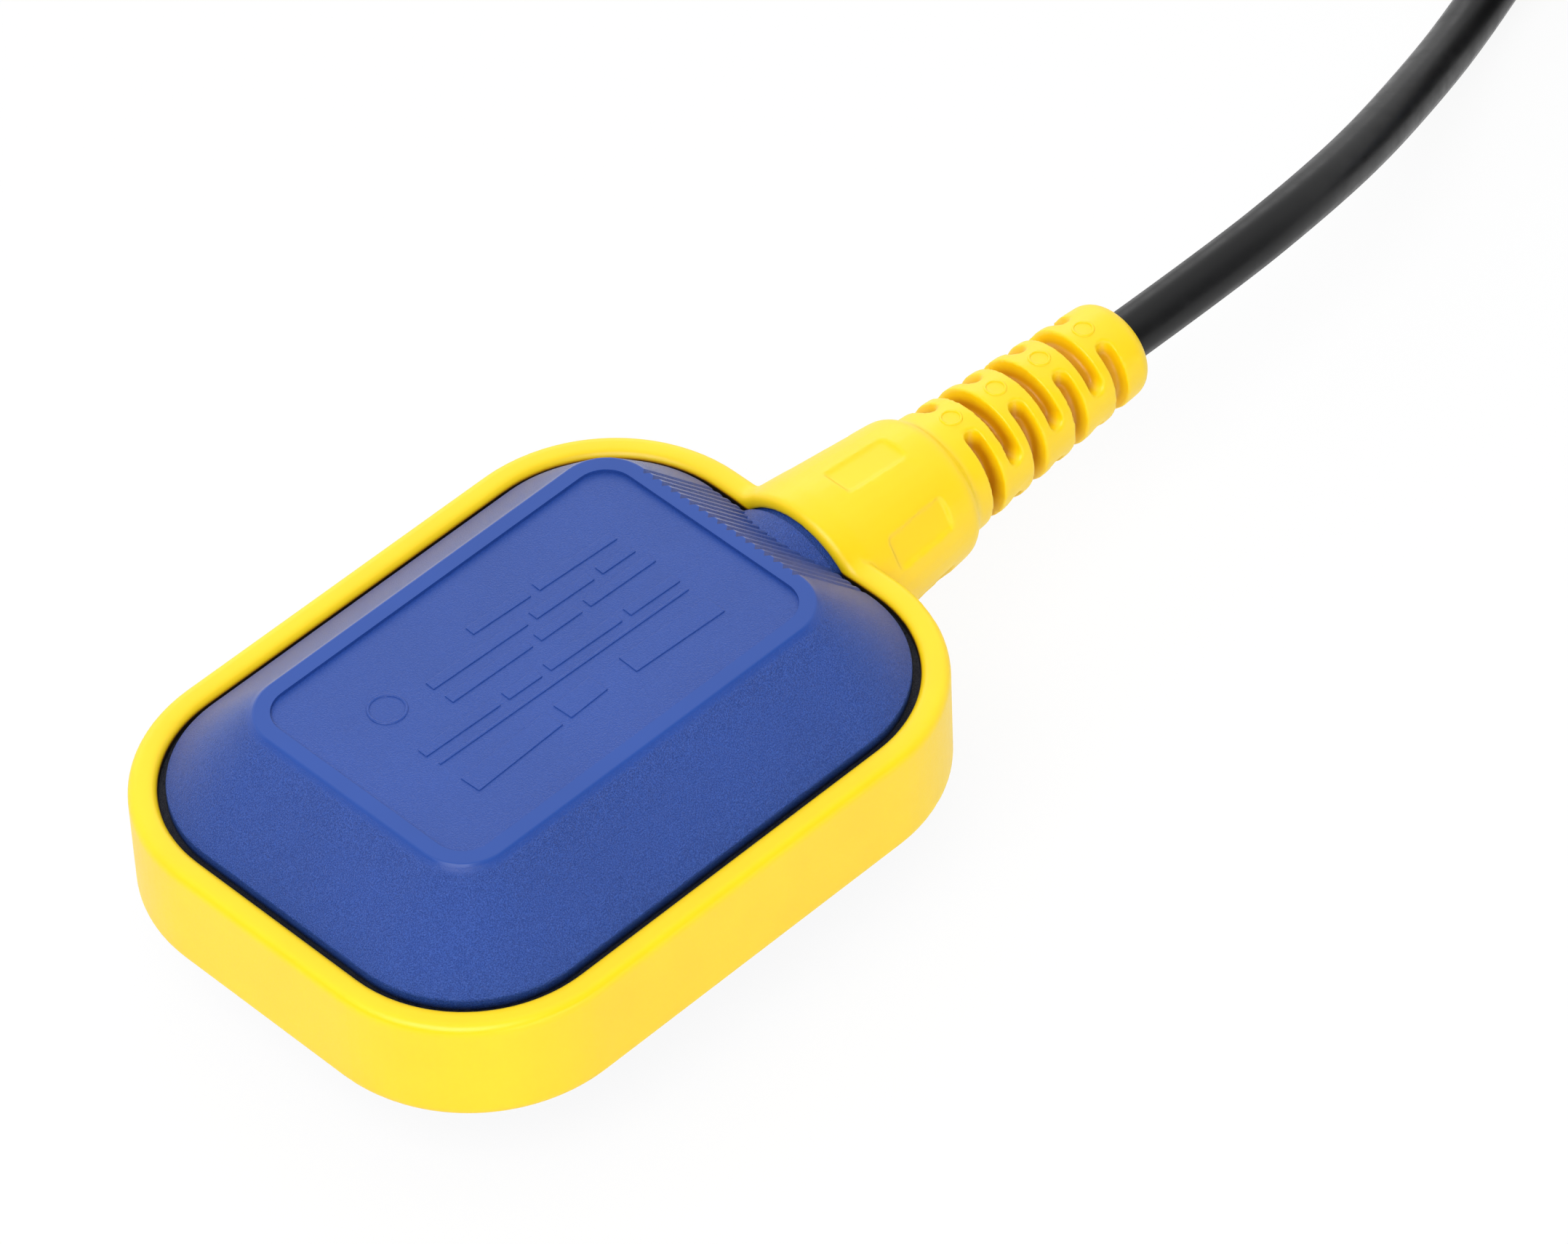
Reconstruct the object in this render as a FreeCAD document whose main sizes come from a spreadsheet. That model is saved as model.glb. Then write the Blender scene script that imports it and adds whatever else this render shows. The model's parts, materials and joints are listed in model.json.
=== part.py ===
import FreeCAD, Part
import math
import os
import re
import Sketcher
from FreeCAD import Placement, Rotation, Vector

# Cable float switch. Each piece is drawn about the float's own centre: +X towards the cable, +Z up,
# and is then placed so that the origin is under the middle of the float, at the face it rests on.

# Driving dimensions in millimetres (angles in degrees): alias, value, meaning
DIMENSIONS = (
    ("band_half_length", 52.4, "bumper band, centre to its rounded end"),
    ("band_half_width", 40.0, "bumper band, centre to its long side"),
    ("arch_margin", 3.3, "foot of the arch to the start of the band's outer corner"),
    ("band_height", 17.0, "height of the band"),
    ("band_round", 1.4, "rounding of the outer edges of the band"),
    ("rim_width", 4.1, "wall of the band, seen as its top rim"),
    ("rim_round", 1.3, "rounding of the inner edges of the band and of the arches"),
    ("neck_length", 22.2, "neck, from the end of the band to its shoulder"),
    ("neck_root_radius", 13.4, "neck radius at the band"),
    ("neck_tip_radius", 11.13, "neck radius at the shoulder, before rounding"),
    ("neck_shoulder", 3.2, "rounding of the shoulder"),
    ("arch_fillet", 4.0, "hollow fillet between the band and the arch"),
    ("neck_end_wall", 7.4, "solid end of the neck that carries the boot"),
    ("seat_radius", 9.6, "bore of the neck round the grommet"),
    ("pad_count", 6, "grip pads round the neck"),
    ("pad_length", 11.5, "grip pad, along the neck"),
    ("pad_width", 5.2, "grip pad, round the neck"),
    ("pad_corner", 0.9, "corner radius of a grip pad"),
    ("pad_depth", 0.6, "depth of a grip pad at its middle"),
    ("pad_start", 4.1, "end of the band to the first end of a pad"),
    ("shell_half_height", 21.35, "seam to the flat border of a shell"),
    ("shell_wall", 2.2, "wall of the shells"),
    ("shell_edge_inset", 5.2, "band outside to the upright edge of a shell"),
    ("shell_edge_height", 8.6, "seam to the top of the upright edge"),
    ("shell_edge_round", 0.4, "rounding of the upright edge"),
    ("skirt_height", 6.8, "seam to the floor of the groove along the band"),
    ("border_half_length", 34.8, "flat border, centre to its end"),
    ("border_half_width", 22.2, "flat border, centre to its side"),
    ("border_corner", 7.0, "outer corner radius of the flat border"),
    ("border_width", 2.3, "width of the flat border"),
    ("border_round", 0.35, "rounding of the border's outer edge"),
    ("panel_recess", 0.55, "depth of the panel inside the border"),
    ("ridge_count", 17, "grooves between the grip ridges"),
    ("ridge_pitch", 1.775, "spacing of the grooves"),
    ("ridge_gap", 1.2, "width of a groove at the surface"),
    ("ridge_depth", 0.5, "depth of a groove"),
    ("tongue_width", 0.9, "tongue of the seam between the shells"),
    ("tongue_height", 0.8, "height of the tongue"),
    ("seam_play", 0.05, "play of the tongue in its groove"),
    ("boss_radius", 12.06, "half-round boss where the neck starts"),
    ("boss_setback", 5.23, "end of the band to the crisp edge of the boss"),
    ("boss_start", 41.2, "centre to the hidden start of the boss"),
    ("spigot_radius", 11.3, "spigot of the shells inside the neck"),
    ("spigot_length", 4.6, "end of the band to the end of the spigot"),
    ("spigot_play", 0.16, "play of the spigot in the neck"),
    ("chamber_radius", 8.0, "cable chamber through the spigot"),
    ("rib_thickness", 2.0, "cradle ribs inside the shells"),
    ("rib_grip", 4.0, "depth by which the ribs hold the capsule's sides"),
    ("rib_shoulder", 2.0, "width of a rib beside the capsule"),
    ("rib_play", 0.1, "play between the ribs and the capsule's sides"),
    ("rear_rib", -18.0, "centre to the rib under the ball track"),
    ("front_rib", 24.0, "centre to the rib under the switch"),
    ("boot_length", 37.6, "boot, outside the neck"),
    ("boot_root_radius", 9.56, "boot radius at the neck"),
    ("boot_tip_radius", 7.32, "boot radius at its tip, before rounding"),
    ("boot_tip_round", 2.6, "rounding of the tip"),
    ("boot_core_radius", 5.6, "floor of the slots"),
    ("boot_blend", 1.6, "hollow fillet between the neck's shoulder and the boot"),
    ("slot_width", 2.6, "width of a boot slot"),
    ("slot_pitch", 8.8, "spacing of the slots of one kind"),
    ("slot_start", 4.4, "shoulder to the middle of the first side slot"),
    ("side_slots", 4, "pairs of side slots"),
    ("top_slots", 3, "pairs of top slots"),
    ("side_web", 3.0, "boot's upright plane to the end of a side slot"),
    ("top_web", 2.8, "boot's level plane to the end of a top slot"),
    ("mark_radius", 1.3, "round ejector mark over each pair of side slots"),
    ("mark_depth", 0.12, "depth of an ejector mark"),
    ("cable_radius", 3.85, "sheath of the cable"),
    ("cable_embed", 5.2, "end of the shells' spigot back to the cable's inner end"),
    ("grommet_setback", 3.2, "end of the shells' spigot to the sealing grommet"),
    ("grommet_groove", 0.8, "depth of the grommet's ring grooves"),
    ("resin_start", 44.0, "centre to the inner face of the resin"),
    ("ball_radius", 9.0, "steel ball"),
    ("ball_play", 0.15, "running play under the ball"),
    ("ball_rest", -17.1, "centre to the ball at rest"),
    ("track_play", 0.3, "play beside the ball"),
    ("track_stop", 0.5, "gap between the resting ball and the end wall"),
    ("capsule_half_height", 12.5, "switch capsule, middle to its outside"),
    ("capsule_wall", 2.0, "wall of the capsule"),
    ("capsule_front", 38.0, "centre to the cable end of the capsule"),
    ("chamber_half_width", 15.0, "switch chamber, inside"),
    ("cover_rim", 1.5, "depth of the rim that centres the cover"),
    ("cover_play", 0.1, "play of that rim"),
    ("window_half_width", 9.0, "window for the leads"),
    ("window_half_height", 3.5, "window for the leads"),
    ("switch_face", 6.4, "centre to the plunger side of the microswitch"),
    ("switch_depth", 16.0, "microswitch, plunger side to terminal side"),
    ("switch_half_length", 14.0, "microswitch, middle to its end"),
    ("switch_half_thickness", 5.15, "microswitch, half its thickness"),
    ("switch_wall", 1.5, "wall of the microswitch"),
    ("switch_cover_thickness", 1.2, "cover of the microswitch"),
    ("switch_cavity_half", 8.6, "inside of the microswitch, middle to its end"),
    ("post_spacing", 22.2, "spacing of the mounting holes"),
    ("post_setback", 10.6, "plunger side to the mounting holes"),
    ("post_radius", 1.5, "moulded post"),
    ("post_foot_radius", 3.0, "foot that carries the microswitch"),
    ("post_play", 0.05, "play of a post in its hole"),
    ("pivot_along", 4.0, "centre to the lever's pin"),
    ("pivot_down", 8.0, "middle plane down to the lever's pin"),
    ("pin_radius", 1.0, "lever pin"),
    ("pin_half_length", 10.8, "lever pin, half its length"),
    ("pin_play", 0.05, "play of the lever on its pin"),
    ("hub_radius", 1.9, "hub of the lever"),
    ("lever_thickness", 1.2, "arm of the lever"),
    ("lever_half_width", 4.0, "arm of the lever, half its width"),
    ("lever_rise", 12.0, "pin to the top of the arm"),
    ("plunger_radius", 1.7, "plunger"),
    ("plunger_play", 0.05, "play of the plunger in its hole"),
    ("plunger_reach", 1.5, "plunger outside the microswitch"),
    ("plunger_tail", 3.45, "plunger inside the microswitch, from its face"),
    ("plunger_side", 1.5, "middle of the microswitch to its plunger"),
    ("collar_radius", 2.4, "collar that keeps the plunger in"),
    ("collar_width", 0.8, "width of that collar"),
    ("terminal_spacing", 6.5, "spacing of the terminals"),
    ("terminal_half_width", 1.8, "terminal strip, half its width"),
    ("terminal_thickness", 0.8, "terminal strip"),
    ("terminal_reach", 7.1, "terminal outside the microswitch"),
    ("terminal_eye", 0.8, "radius of the soldering eye"),
    ("blade_setback", 5.0, "plunger side to the back of the contact blade"),
    ("blade_thickness", 0.4, "contact blade"),
    ("blade_half_height", 1.5, "contact blade, half its height"),
    ("blade_tip", 7.5, "middle of the microswitch to the blade's tip"),
    ("contact_gap", 0.85, "blade at rest to the open contact"),
    ("contact_touch", 0.15, "blade at rest to the closed contact"),
    ("contact_rise", 1.8, "middle plane to the top of a contact"),
    ("lead_radius", 1.2, "insulated leads"),
    ("lead_circle", 1.75, "axis of the cable to the middle of a lead"),
    ("tie_thickness", 0.5, "strap round the coil"),
    ("tie_angle", 9.0, "width of the strap, as an angle of the coil"),
    ("coil_radius", 43.5, "middle of the coil's turns"),
    ("coil_layers", 3, "whole layers of two turns each, under the last layer"),
    ("coil_last_turn", 230.0, "angle of the last turn, the outer one of the last layer"),
    ("coil_lead", 30.0, "straight stretch that belongs to the coil"),
    ("tail_radius", 1.15, "insulated cores at the free end"),
    ("strand_radius", 0.6, "bare strands at the free end"),
)

# The free cable's route in the part's own frame: exit, then down to the floor and to the coil
COIL_CENTRE = (251.4, -10.0)
COIL_ENTRY_HEADING = 12.3
CABLE_ROUTE = (
    (82.3, 0.0, 21.35),
    (106.0, -0.2, 21.3),
    (130.4, 2.7, 18.7),
    (152.4, 10.3, 12.1),
    (174.4, 18.7, 6.2),
    (197.4, 26.7, 4.35),
)
# Where the sheath ends, in degrees round the coil, and each core's way on from there:
# degrees past the end, distance from the coil's axis, and height over the sheath's middle
SHEATH_END = 205.3
TAIL_ROUTES = {
    "tail_brown": ((0, 45.9, -0.9), (5, 46.08, -0.9), (15, 45.3, -2.3), (25, 45.15, -2.6), (35, 45.15, -2.6),
                   (44, 45.15, -2.6)),
    "tail_blue": ((0, 48.8, -0.9), (5, 48.99, -0.9), (15, 49.9, -2.3), (25, 50.0, -2.6), (35, 50.0, -2.6),
                  (42, 50.0, -2.6)),
    "tail_black": ((0, 47.35, 1.4), (5, 47.53, 1.4), (15, 47.6, -0.2), (25, 47.58, -2.3), (35, 47.58, -2.6),
                   (46, 47.58, -2.6)),
}
STRAND_LENGTH = 7.0
ROUND_SHARE = 0.45
SHEET = "Dims"

doc = FreeCAD.newDocument("cable_float_switch")
dims = doc.addObject("Spreadsheet::Sheet", SHEET)
pieces = []


def fill_sheet():
    """One row for each driving dimension: its value, which has the alias, and its meaning."""
    for row, (alias, value, meaning) in enumerate(DIMENSIONS, start=1):
        dims.set(f"A{row}", alias)
        dims.set(f"B{row}", str(value))
        dims.set(f"C{row}", meaning)
        dims.setAlias(f"B{row}", alias)
    doc.recompute()


ALIASES = re.compile(r"\b(" + "|".join(row[0] for row in DIMENSIONS) + r")\b")


def sheet_words(text):
    """The expression with the sheet's name before each alias."""
    return ALIASES.sub(SHEET + r".\1", text)


def value(text):
    """The number that an expression of aliases gives now."""
    return float(dims.evalExpression(sheet_words(text)))


def bind(thing, prop, text):
    """Ties a property to an expression of aliases."""
    thing.setExpression(prop, sheet_words(text))


# Sizes that follow from the driving ones
NECK_END = "(band_half_length + neck_length)"
# The arch stands on the straight part of the band's end, and the corners take the rest of its width
ARCH_REACH = "sqrt((neck_root_radius + arch_fillet) ^ 2 - (band_height / 2 + arch_fillet) ^ 2)"
BAND_CORNER = f"(band_half_width - {ARCH_REACH} - arch_margin)"
BOOT_END = f"({NECK_END} + boot_length)"
HALF_SPAN = "((neck_length + boot_length) / 2)"
BAND_INSIDE = "(band_half_length - rim_width)"
SPIGOT_END = "(band_half_length + spigot_length)"
NECK_SLOPE = "((neck_root_radius - neck_tip_radius) / neck_length)"
SEAT_START = f"({SPIGOT_END} + spigot_play)"
BOSS_END = "(band_half_length - boss_setback)"
CABLE_START = f"({SPIGOT_END} - cable_embed)"
SLOPE_RUN = "(band_half_length - shell_edge_inset - border_half_length)"
SLOPE_RISE = "(shell_half_height - shell_edge_height)"
SLOPE_LENGTH = f"sqrt({SLOPE_RUN}^2 + {SLOPE_RISE}^2)"
CAVITY_TOP = "(shell_half_height - panel_recess - shell_wall)"
CAVITY_INSET = f"(shell_wall * {SLOPE_LENGTH} / {SLOPE_RISE})"
CAVITY_TOP_GROWTH = f"((shell_half_height - {CAVITY_TOP}) * {SLOPE_RUN} / {SLOPE_RISE} - {CAVITY_INSET})"
CAVITY_LOW = (f"(shell_edge_height - ({CAVITY_INSET} + shell_edge_inset - rim_width - shell_wall)"
              f" * {SLOPE_RISE} / {SLOPE_RUN})")
TRACK_INSIDE = "(ball_radius + track_play)"
TRACK_END = "(ball_rest - ball_radius - track_stop)"
CHAMBER_START = "(switch_face - 0.2)"
CAPSULE_FLOOR = "(capsule_half_height - capsule_wall)"
SWITCH_BACK = "(switch_face + switch_depth)"
TERMINAL_END = f"({SWITCH_BACK} + terminal_reach)"
BLADE_BACK = "(switch_face + blade_setback)"
COLUMN_IN = "(coil_radius - cable_radius)"
COLUMN_OUT = "(coil_radius + cable_radius)"
LAYERS_TOP = "(tie_thickness + coil_layers * 2 * cable_radius)"
COIL_TOP = f"({LAYERS_TOP} + 2 * cable_radius)"


def move_to_frame(thing, along="0", up="0"):
    """Moves a piece from the float's centre to the part's own frame."""
    bind(thing, "Placement.Base.x", f"{along} - {HALF_SPAN}")
    bind(thing, "Placement.Base.z", f"{up} + shell_half_height")


def keep(thing, label, along="0", up="0"):
    """Names a finished piece and moves it to the part's own frame."""
    move_to_frame(thing, along, up)
    place_in_part(thing, label)


def place_in_part(thing, label):
    """Names a piece that already lies in the part's own frame."""
    thing.Label = label
    pieces.append(thing)


def body(name):
    """An empty body."""
    return doc.addObject("PartDesign::Body", name)


def origin_part(owner, role):
    """A plane or axis of the body's own origin."""
    return next(part for part in owner.Origin.OriginFeatures if part.Role == role)


def sketch(owner, name, plane, lift="0"):
    """A sketch on a plane of the body's origin, moved along the plane's normal."""
    made = owner.newObject("Sketcher::SketchObject", name)
    made.AttachmentSupport = [(origin_part(owner, plane), "")]
    made.MapMode = "FlatFace"
    bind(made, "AttachmentOffset.Base.z", lift)
    return made


def size(made, kind, places, text):
    """A dimension of a sketch, tied to an expression; a negative distance is measured backwards."""
    amount = value(text)
    if amount < 0:
        places = places[2:] + places[:2]
        text = f"-({text})"
    made.addConstraint(Sketcher.Constraint(kind, *places, abs(amount)))
    name = f"size{made.ConstraintCount}"
    made.renameConstraint(made.ConstraintCount - 1, name)
    bind(made, "Constraints." + name, text)


def pin_point(made, shape, corner, across, up):
    """Fixes one point of a sketch by its distances from the sketch's origin."""
    for kind, text in (("DistanceX", across), ("DistanceY", up)):
        if abs(value(text)) < 1e-9:
            axis = -2 if kind == "DistanceX" else -1
            made.addConstraint(Sketcher.Constraint("PointOnObject", shape, corner, axis))
        else:
            size(made, kind, (-1, 1, shape, corner), text)


def outline(made, corners):
    """A closed outline of straight lines through corners given as pairs of expressions."""
    points = [Vector(value(across), value(up), 0) for across, up in corners]
    first = made.GeometryCount
    count = len(points)
    for number in range(count):
        made.addGeometry(Part.LineSegment(points[number], points[(number + 1) % count]), False)
    for number in range(count):
        joint = (first + number, 2, first + (number + 1) % count, 1)
        made.addConstraint(Sketcher.Constraint("Coincident", *joint))
    for number, (across, up) in enumerate(corners):
        pin_point(made, first + number, 1, across, up)


def box_outline(made, left, right, low, high):
    """A rectangle between two distances across and two up."""
    outline(made, ((left, low), (right, low), (right, high), (left, high)))


def circle(made, across, up, radius):
    """A circle."""
    centre = Vector(value(across), value(up), 0)
    shape = made.addGeometry(Part.Circle(centre, Vector(0, 0, 1), value(radius)), False)
    pin_point(made, shape, 3, across, up)
    size(made, "Radius", (shape,), radius)


def rounded_rectangle(made, half_across, half_up, corner, middle="0"):
    """A rectangle with round corners, its middle on the sketch's upright axis or beside it."""
    centre = value(middle)
    radius = value(corner)
    wide, tall = value(half_across) - radius, value(half_up) - radius
    hubs = [Vector(centre + sx * wide, sy * tall, 0) for sx, sy in ((1, 1), (-1, 1), (-1, -1), (1, -1))]
    first = made.GeometryCount
    for number, hub in enumerate(hubs):
        ring = Part.Circle(hub, Vector(0, 0, 1), radius)
        start = number * math.pi / 2
        made.addGeometry(Part.ArcOfCircle(ring, start, start + math.pi / 2), False)
    for number, hub in enumerate(hubs):
        angle = (number + 1) * math.pi / 2
        reach = Vector(math.cos(angle), math.sin(angle), 0) * radius
        made.addGeometry(Part.LineSegment(hub + reach, hubs[(number + 1) % 4] + reach), False)
    for number in range(4):
        arc, line = first + number, first + 4 + number
        made.addConstraint(Sketcher.Constraint("Tangent", arc, 2, line, 1))
        made.addConstraint(Sketcher.Constraint("Tangent", line, 2, first + (number + 1) % 4, 1))
        kind = "Horizontal" if number % 2 == 0 else "Vertical"
        made.addConstraint(Sketcher.Constraint(kind, line))
        if number:
            made.addConstraint(Sketcher.Constraint("Equal", first, arc))
    size(made, "Radius", (first,), corner)
    size(made, "DistanceY", (-1, 1, first + 4, 1), half_up)
    size(made, "DistanceY", (-1, 1, first + 6, 1), f"-{half_up}")
    size(made, "DistanceX", (-1, 1, first + 5, 1), f"{middle} - {half_across}")
    size(made, "DistanceX", (-1, 1, first + 7, 1), f"{middle} + {half_across}")


def pad(owner, profile, length, reverse=False, both_ways=False):
    """Extrudes a sketch along its normal, or the same way both ways."""
    made = owner.newObject("PartDesign::Pad", "Pad")
    made.Profile = profile
    made.SideType = "Symmetric" if both_ways else "One side"
    made.Reversed = reverse
    bind(made, "Length", length)
    return made


def pocket(owner, profile, length, forward=False, both_ways=False):
    """Cuts a sketch against its normal, along it when forward, or both ways."""
    made = owner.newObject("PartDesign::Pocket", "Pocket")
    made.Profile = profile
    made.SideType = "Symmetric" if both_ways else "One side"
    made.Reversed = forward
    bind(made, "Length", length)
    return made


def revolve(owner, profile, cut=False):
    """Turns a sketch about its horizontal axis, as material or as a cut."""
    kind = "PartDesign::Groove" if cut else "PartDesign::Revolution"
    made = owner.newObject(kind, "Turned")
    made.Profile = profile
    made.ReferenceAxis = (profile, ["H_Axis"])
    made.Angle = 360
    return made


def loft(owner, profiles, cut=False):
    """Ruled loft between two sketches."""
    kind = "PartDesign::SubtractiveLoft" if cut else "PartDesign::AdditiveLoft"
    made = owner.newObject(kind, "Loft")
    made.Profile = profiles[0]
    made.Sections = profiles[1:]
    made.Ruled = True
    return made


def pattern(owner, feature, axis_of, axis, spacing, count):
    """Repeats a feature along a sketch's axis."""
    made = owner.newObject("PartDesign::LinearPattern", "Row")
    made.Originals = [feature]
    made.Direction = (axis_of, [axis])
    made.Mode = "Spacing"
    bind(made, "Offset", spacing)
    bind(made, "Occurrences", count)
    owner.Tip = made
    return made


def fillet(owner, base, radius, wanted):
    """Rounds the edges of a feature for which wanted(edge) is true."""
    doc.recompute()
    names = [f"Edge{n}" for n, edge in enumerate(base.Shape.Edges, start=1) if wanted(edge)]
    made = owner.newObject("PartDesign::Fillet", "Fillet")
    made.Base = (base, names)
    bind(made, "Radius", radius)
    return made


def near(first, second):
    """True if two numbers are the same within a hair."""
    return abs(first - second) < 1e-4


def level_edge(edge, height):
    """True if an edge lies level at a height."""
    box = edge.BoundBox
    return near(box.ZMin, height) and near(box.ZMax, height)


def ring_edge(edge, along):
    """True if an edge is a whole circle about the long axis at a distance along it."""
    box = edge.BoundBox
    return near(box.XMin, along) and near(box.XMax, along) and edge.isClosed()


def valley_edge(edge):
    """True for the hollow ring where the boot leaves the neck's shoulder."""
    box, root = edge.BoundBox, value("boot_root_radius")
    along = value(NECK_END)
    return (edge.isClosed() and along - value("neck_shoulder") < box.XMin and box.XMax < along + 1e-4
            and near(box.ZMax, -box.ZMin) and root - 0.2 < box.ZMax < root + 0.2)


def fuse(name, parts):
    """One solid of several."""
    made = doc.addObject("Part::MultiFuse", name)
    made.Shapes = parts
    made.Refine = True
    return made


def cut(name, base, tool):
    """One solid less another."""
    made = doc.addObject("Part::Cut", name)
    made.Base = base
    made.Tool = tool
    made.Refine = True
    return made


def cylinder(name, radius, height, base, turn=Rotation()):
    """A cylinder from a point given by three expressions."""
    made = doc.addObject("Part::Cylinder", name)
    bind(made, "Radius", radius)
    bind(made, "Height", height)
    made.Placement = Placement(Vector(), turn)
    for axis, text in zip("xyz", base):
        bind(made, f"Placement.Base.{axis}", text)
    return made


def block(name, spans):
    """A box between three pairs of expressions."""
    made = doc.addObject("Part::Box", name)
    for prop, axis, (low, high) in zip(("Length", "Width", "Height"), "xyz", spans):
        bind(made, prop, f"{high} - ({low})")
        bind(made, f"Placement.Base.{axis}", low)
    return made


def band_ring(band):
    """The band itself: a rounded rectangular ring with soft outer edges."""
    outside = sketch(band, "outside", "XY_Plane")
    rounded_rectangle(outside, "band_half_length", "band_half_width", BAND_CORNER)
    solid = pad(band, outside, "band_height", both_ways=True)
    half = value("band_height / 2")
    fillet(band, solid, "band_round", lambda edge: level_edge(edge, half) or level_edge(edge, -half))
    inside = sketch(band, "inside", "XY_Plane")
    rounded_rectangle(inside, BAND_INSIDE, "(band_half_width - rim_width)", f"({BAND_CORNER} - rim_width)")
    pocket(band, inside, "band_height * 2", both_ways=True)


def neck_outside(band):
    """The neck outside: round through the band, then a taper to a soft shoulder."""
    profile = sketch(band, "neck", "XZ_Plane")
    outline(profile, ((BAND_INSIDE, "0"), (BAND_INSIDE, "neck_root_radius"),
                      ("band_half_length", "neck_root_radius"), (NECK_END, "neck_tip_radius"),
                      (NECK_END, "0")))
    turned = revolve(band, profile)
    fillet(band, turned, "neck_shoulder", lambda edge: ring_edge(edge, value(NECK_END)))


def arch_bridge(band, side):
    """The hollow fillets that carry the band's rim over the arch, on the upper or lower side."""
    face = sketch(band, "arch", "YZ_Plane", BAND_INSIDE)
    crown, hollow, top = value("neck_root_radius"), value("arch_fillet"), value("band_height / 2")
    reach = math.sqrt((crown + hollow) ** 2 - (top + hollow) ** 2)
    share = crown / (crown + hollow)
    touch = Vector(reach * share, side * (top + hollow) * share, 0)
    mirror = Vector(-touch.x, touch.y, 0)
    right, left = Vector(reach, side * top, 0), Vector(-reach, side * top, 0)
    low = Vector(0, side * (top - value("band_round")), 0)

    def hollow_arc(start, end, sign):
        hub = Vector(sign * reach, side * (top + hollow), 0)
        middle = (start + end) / 2 - hub
        return Part.Arc(start, hub + middle.normalize() * hollow, end)

    edges = [
        Part.LineSegment(left + Vector(0, low.y - left.y, 0), right + Vector(0, low.y - right.y, 0)),
        Part.LineSegment(right + Vector(0, low.y - right.y, 0), right),
        hollow_arc(right, touch, 1),
        Part.Arc(touch, Vector(0, side * crown, 0), mirror),
        hollow_arc(mirror, left, -1),
        Part.LineSegment(left, left + Vector(0, low.y - left.y, 0)),
    ]
    for edge in edges:
        face.addGeometry(edge, False)
    block_all(face)
    return pad(band, face, "rim_width - band_round")


def block_all(made):
    """Holds every curve of a sketch where the sizes have put it."""
    for number in range(made.GeometryCount):
        made.addConstraint(Sketcher.Constraint("Block", number))


def rim_edge(edge):
    """True for the inner edges of the rim, upper and lower, and where they climb over the arch."""
    box = edge.BoundBox
    half = value("band_height / 2")
    long, wide = value(BAND_INSIDE) + 1e-3, value("band_half_width - rim_width") + 1e-3
    inside = box.XMax < long and box.XMin > -long and box.YMax < wide and box.YMin > -wide
    above = box.ZMin > half - 1e-3 or box.ZMax < 1e-3 - half
    return inside and above


def neck_pads(band):
    """Shallow grip pads round the neck, level along the taper."""
    middle = "(pad_start + pad_length / 2)"
    mark = sketch(band, "pad_outline", "XY_Plane")
    bind(mark, "AttachmentOffset.Base.x", f"band_half_length + {middle}")
    bind(mark, "AttachmentOffset.Base.z", f"neck_root_radius - {middle} * {NECK_SLOPE} - pad_depth")
    bind(mark, "AttachmentOffset.Rotation.Axis.y", "1")
    bind(mark, "AttachmentOffset.Rotation.Axis.z", "0")
    bind(mark, "AttachmentOffset.Rotation.Angle", f"atan({NECK_SLOPE})")
    rounded_rectangle(mark, "(pad_length / 2)", "(pad_width / 2)", "pad_corner")
    recess = pocket(band, mark, "neck_root_radius", forward=True)
    doc.recompute()
    around = band.newObject("PartDesign::PolarPattern", "pads")
    around.Originals = [recess]
    around.Axis = (origin_part(band, "X_Axis"), [""])
    around.Angle = 360
    bind(around, "Occurrences", "pad_count")
    band.Tip = around


def neck_hollow(band):
    """What the neck is hollow for, the shells' spigot and the rubber parts, and the bore for the cable."""
    profile = sketch(band, "hollow", "XZ_Plane")
    wide = "(spigot_radius + spigot_play)"
    wall = f"({NECK_END} - neck_end_wall)"
    start, end = f"({BAND_INSIDE} - 1)", f"({BOOT_END} + 1)"
    outline(profile, ((start, "0"), (start, wide), (SEAT_START, wide), (SEAT_START, "seat_radius"),
                      (wall, "seat_radius"), (wall, "cable_radius"), (end, "cable_radius"), (end, "0")))
    return revolve(band, profile, cut=True)


def make_band():
    """Bumper band with its arches, its neck and the flexible boot: one moulding."""
    band = body("outer_band")
    band_ring(band)
    neck_outside(band)
    arch_bridge(band, 1)
    bridged = arch_bridge(band, -1)
    fillet(band, bridged, "rim_round", rim_edge)
    boot_outside(band)
    neck_pads(band)
    band.Tip = neck_hollow(band)
    keep(band, "outer_band")


def shell_outside(shell):
    """Skirt, upright edge and the four slopes up to the flat border."""
    skirt = sketch(shell, "skirt", "XY_Plane")
    rounded_rectangle(skirt, BAND_INSIDE, "(band_half_width - rim_width)", f"({BAND_CORNER} - rim_width)")
    pad(shell, skirt, "skirt_height")
    edge_sizes = ("(band_half_length - shell_edge_inset)", "(band_half_width - shell_edge_inset)",
                  f"({BAND_CORNER} - shell_edge_inset)")
    upright = sketch(shell, "upright", "XY_Plane", "skirt_height")
    rounded_rectangle(upright, *edge_sizes)
    pad(shell, upright, "shell_edge_height - skirt_height")
    edge = sketch(shell, "edge", "XY_Plane", "shell_edge_height")
    rounded_rectangle(edge, *edge_sizes)
    border = sketch(shell, "border", "XY_Plane", "shell_half_height")
    rounded_rectangle(border, "border_half_length", "border_half_width", "border_corner")
    sloped = loft(shell, [edge, border])
    top, foot = value("shell_half_height"), value("shell_edge_height")
    soft = fillet(shell, sloped, "border_round", lambda line: level_edge(line, top))
    return fillet(shell, soft, "shell_edge_round", lambda line: level_edge(line, foot))


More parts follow.
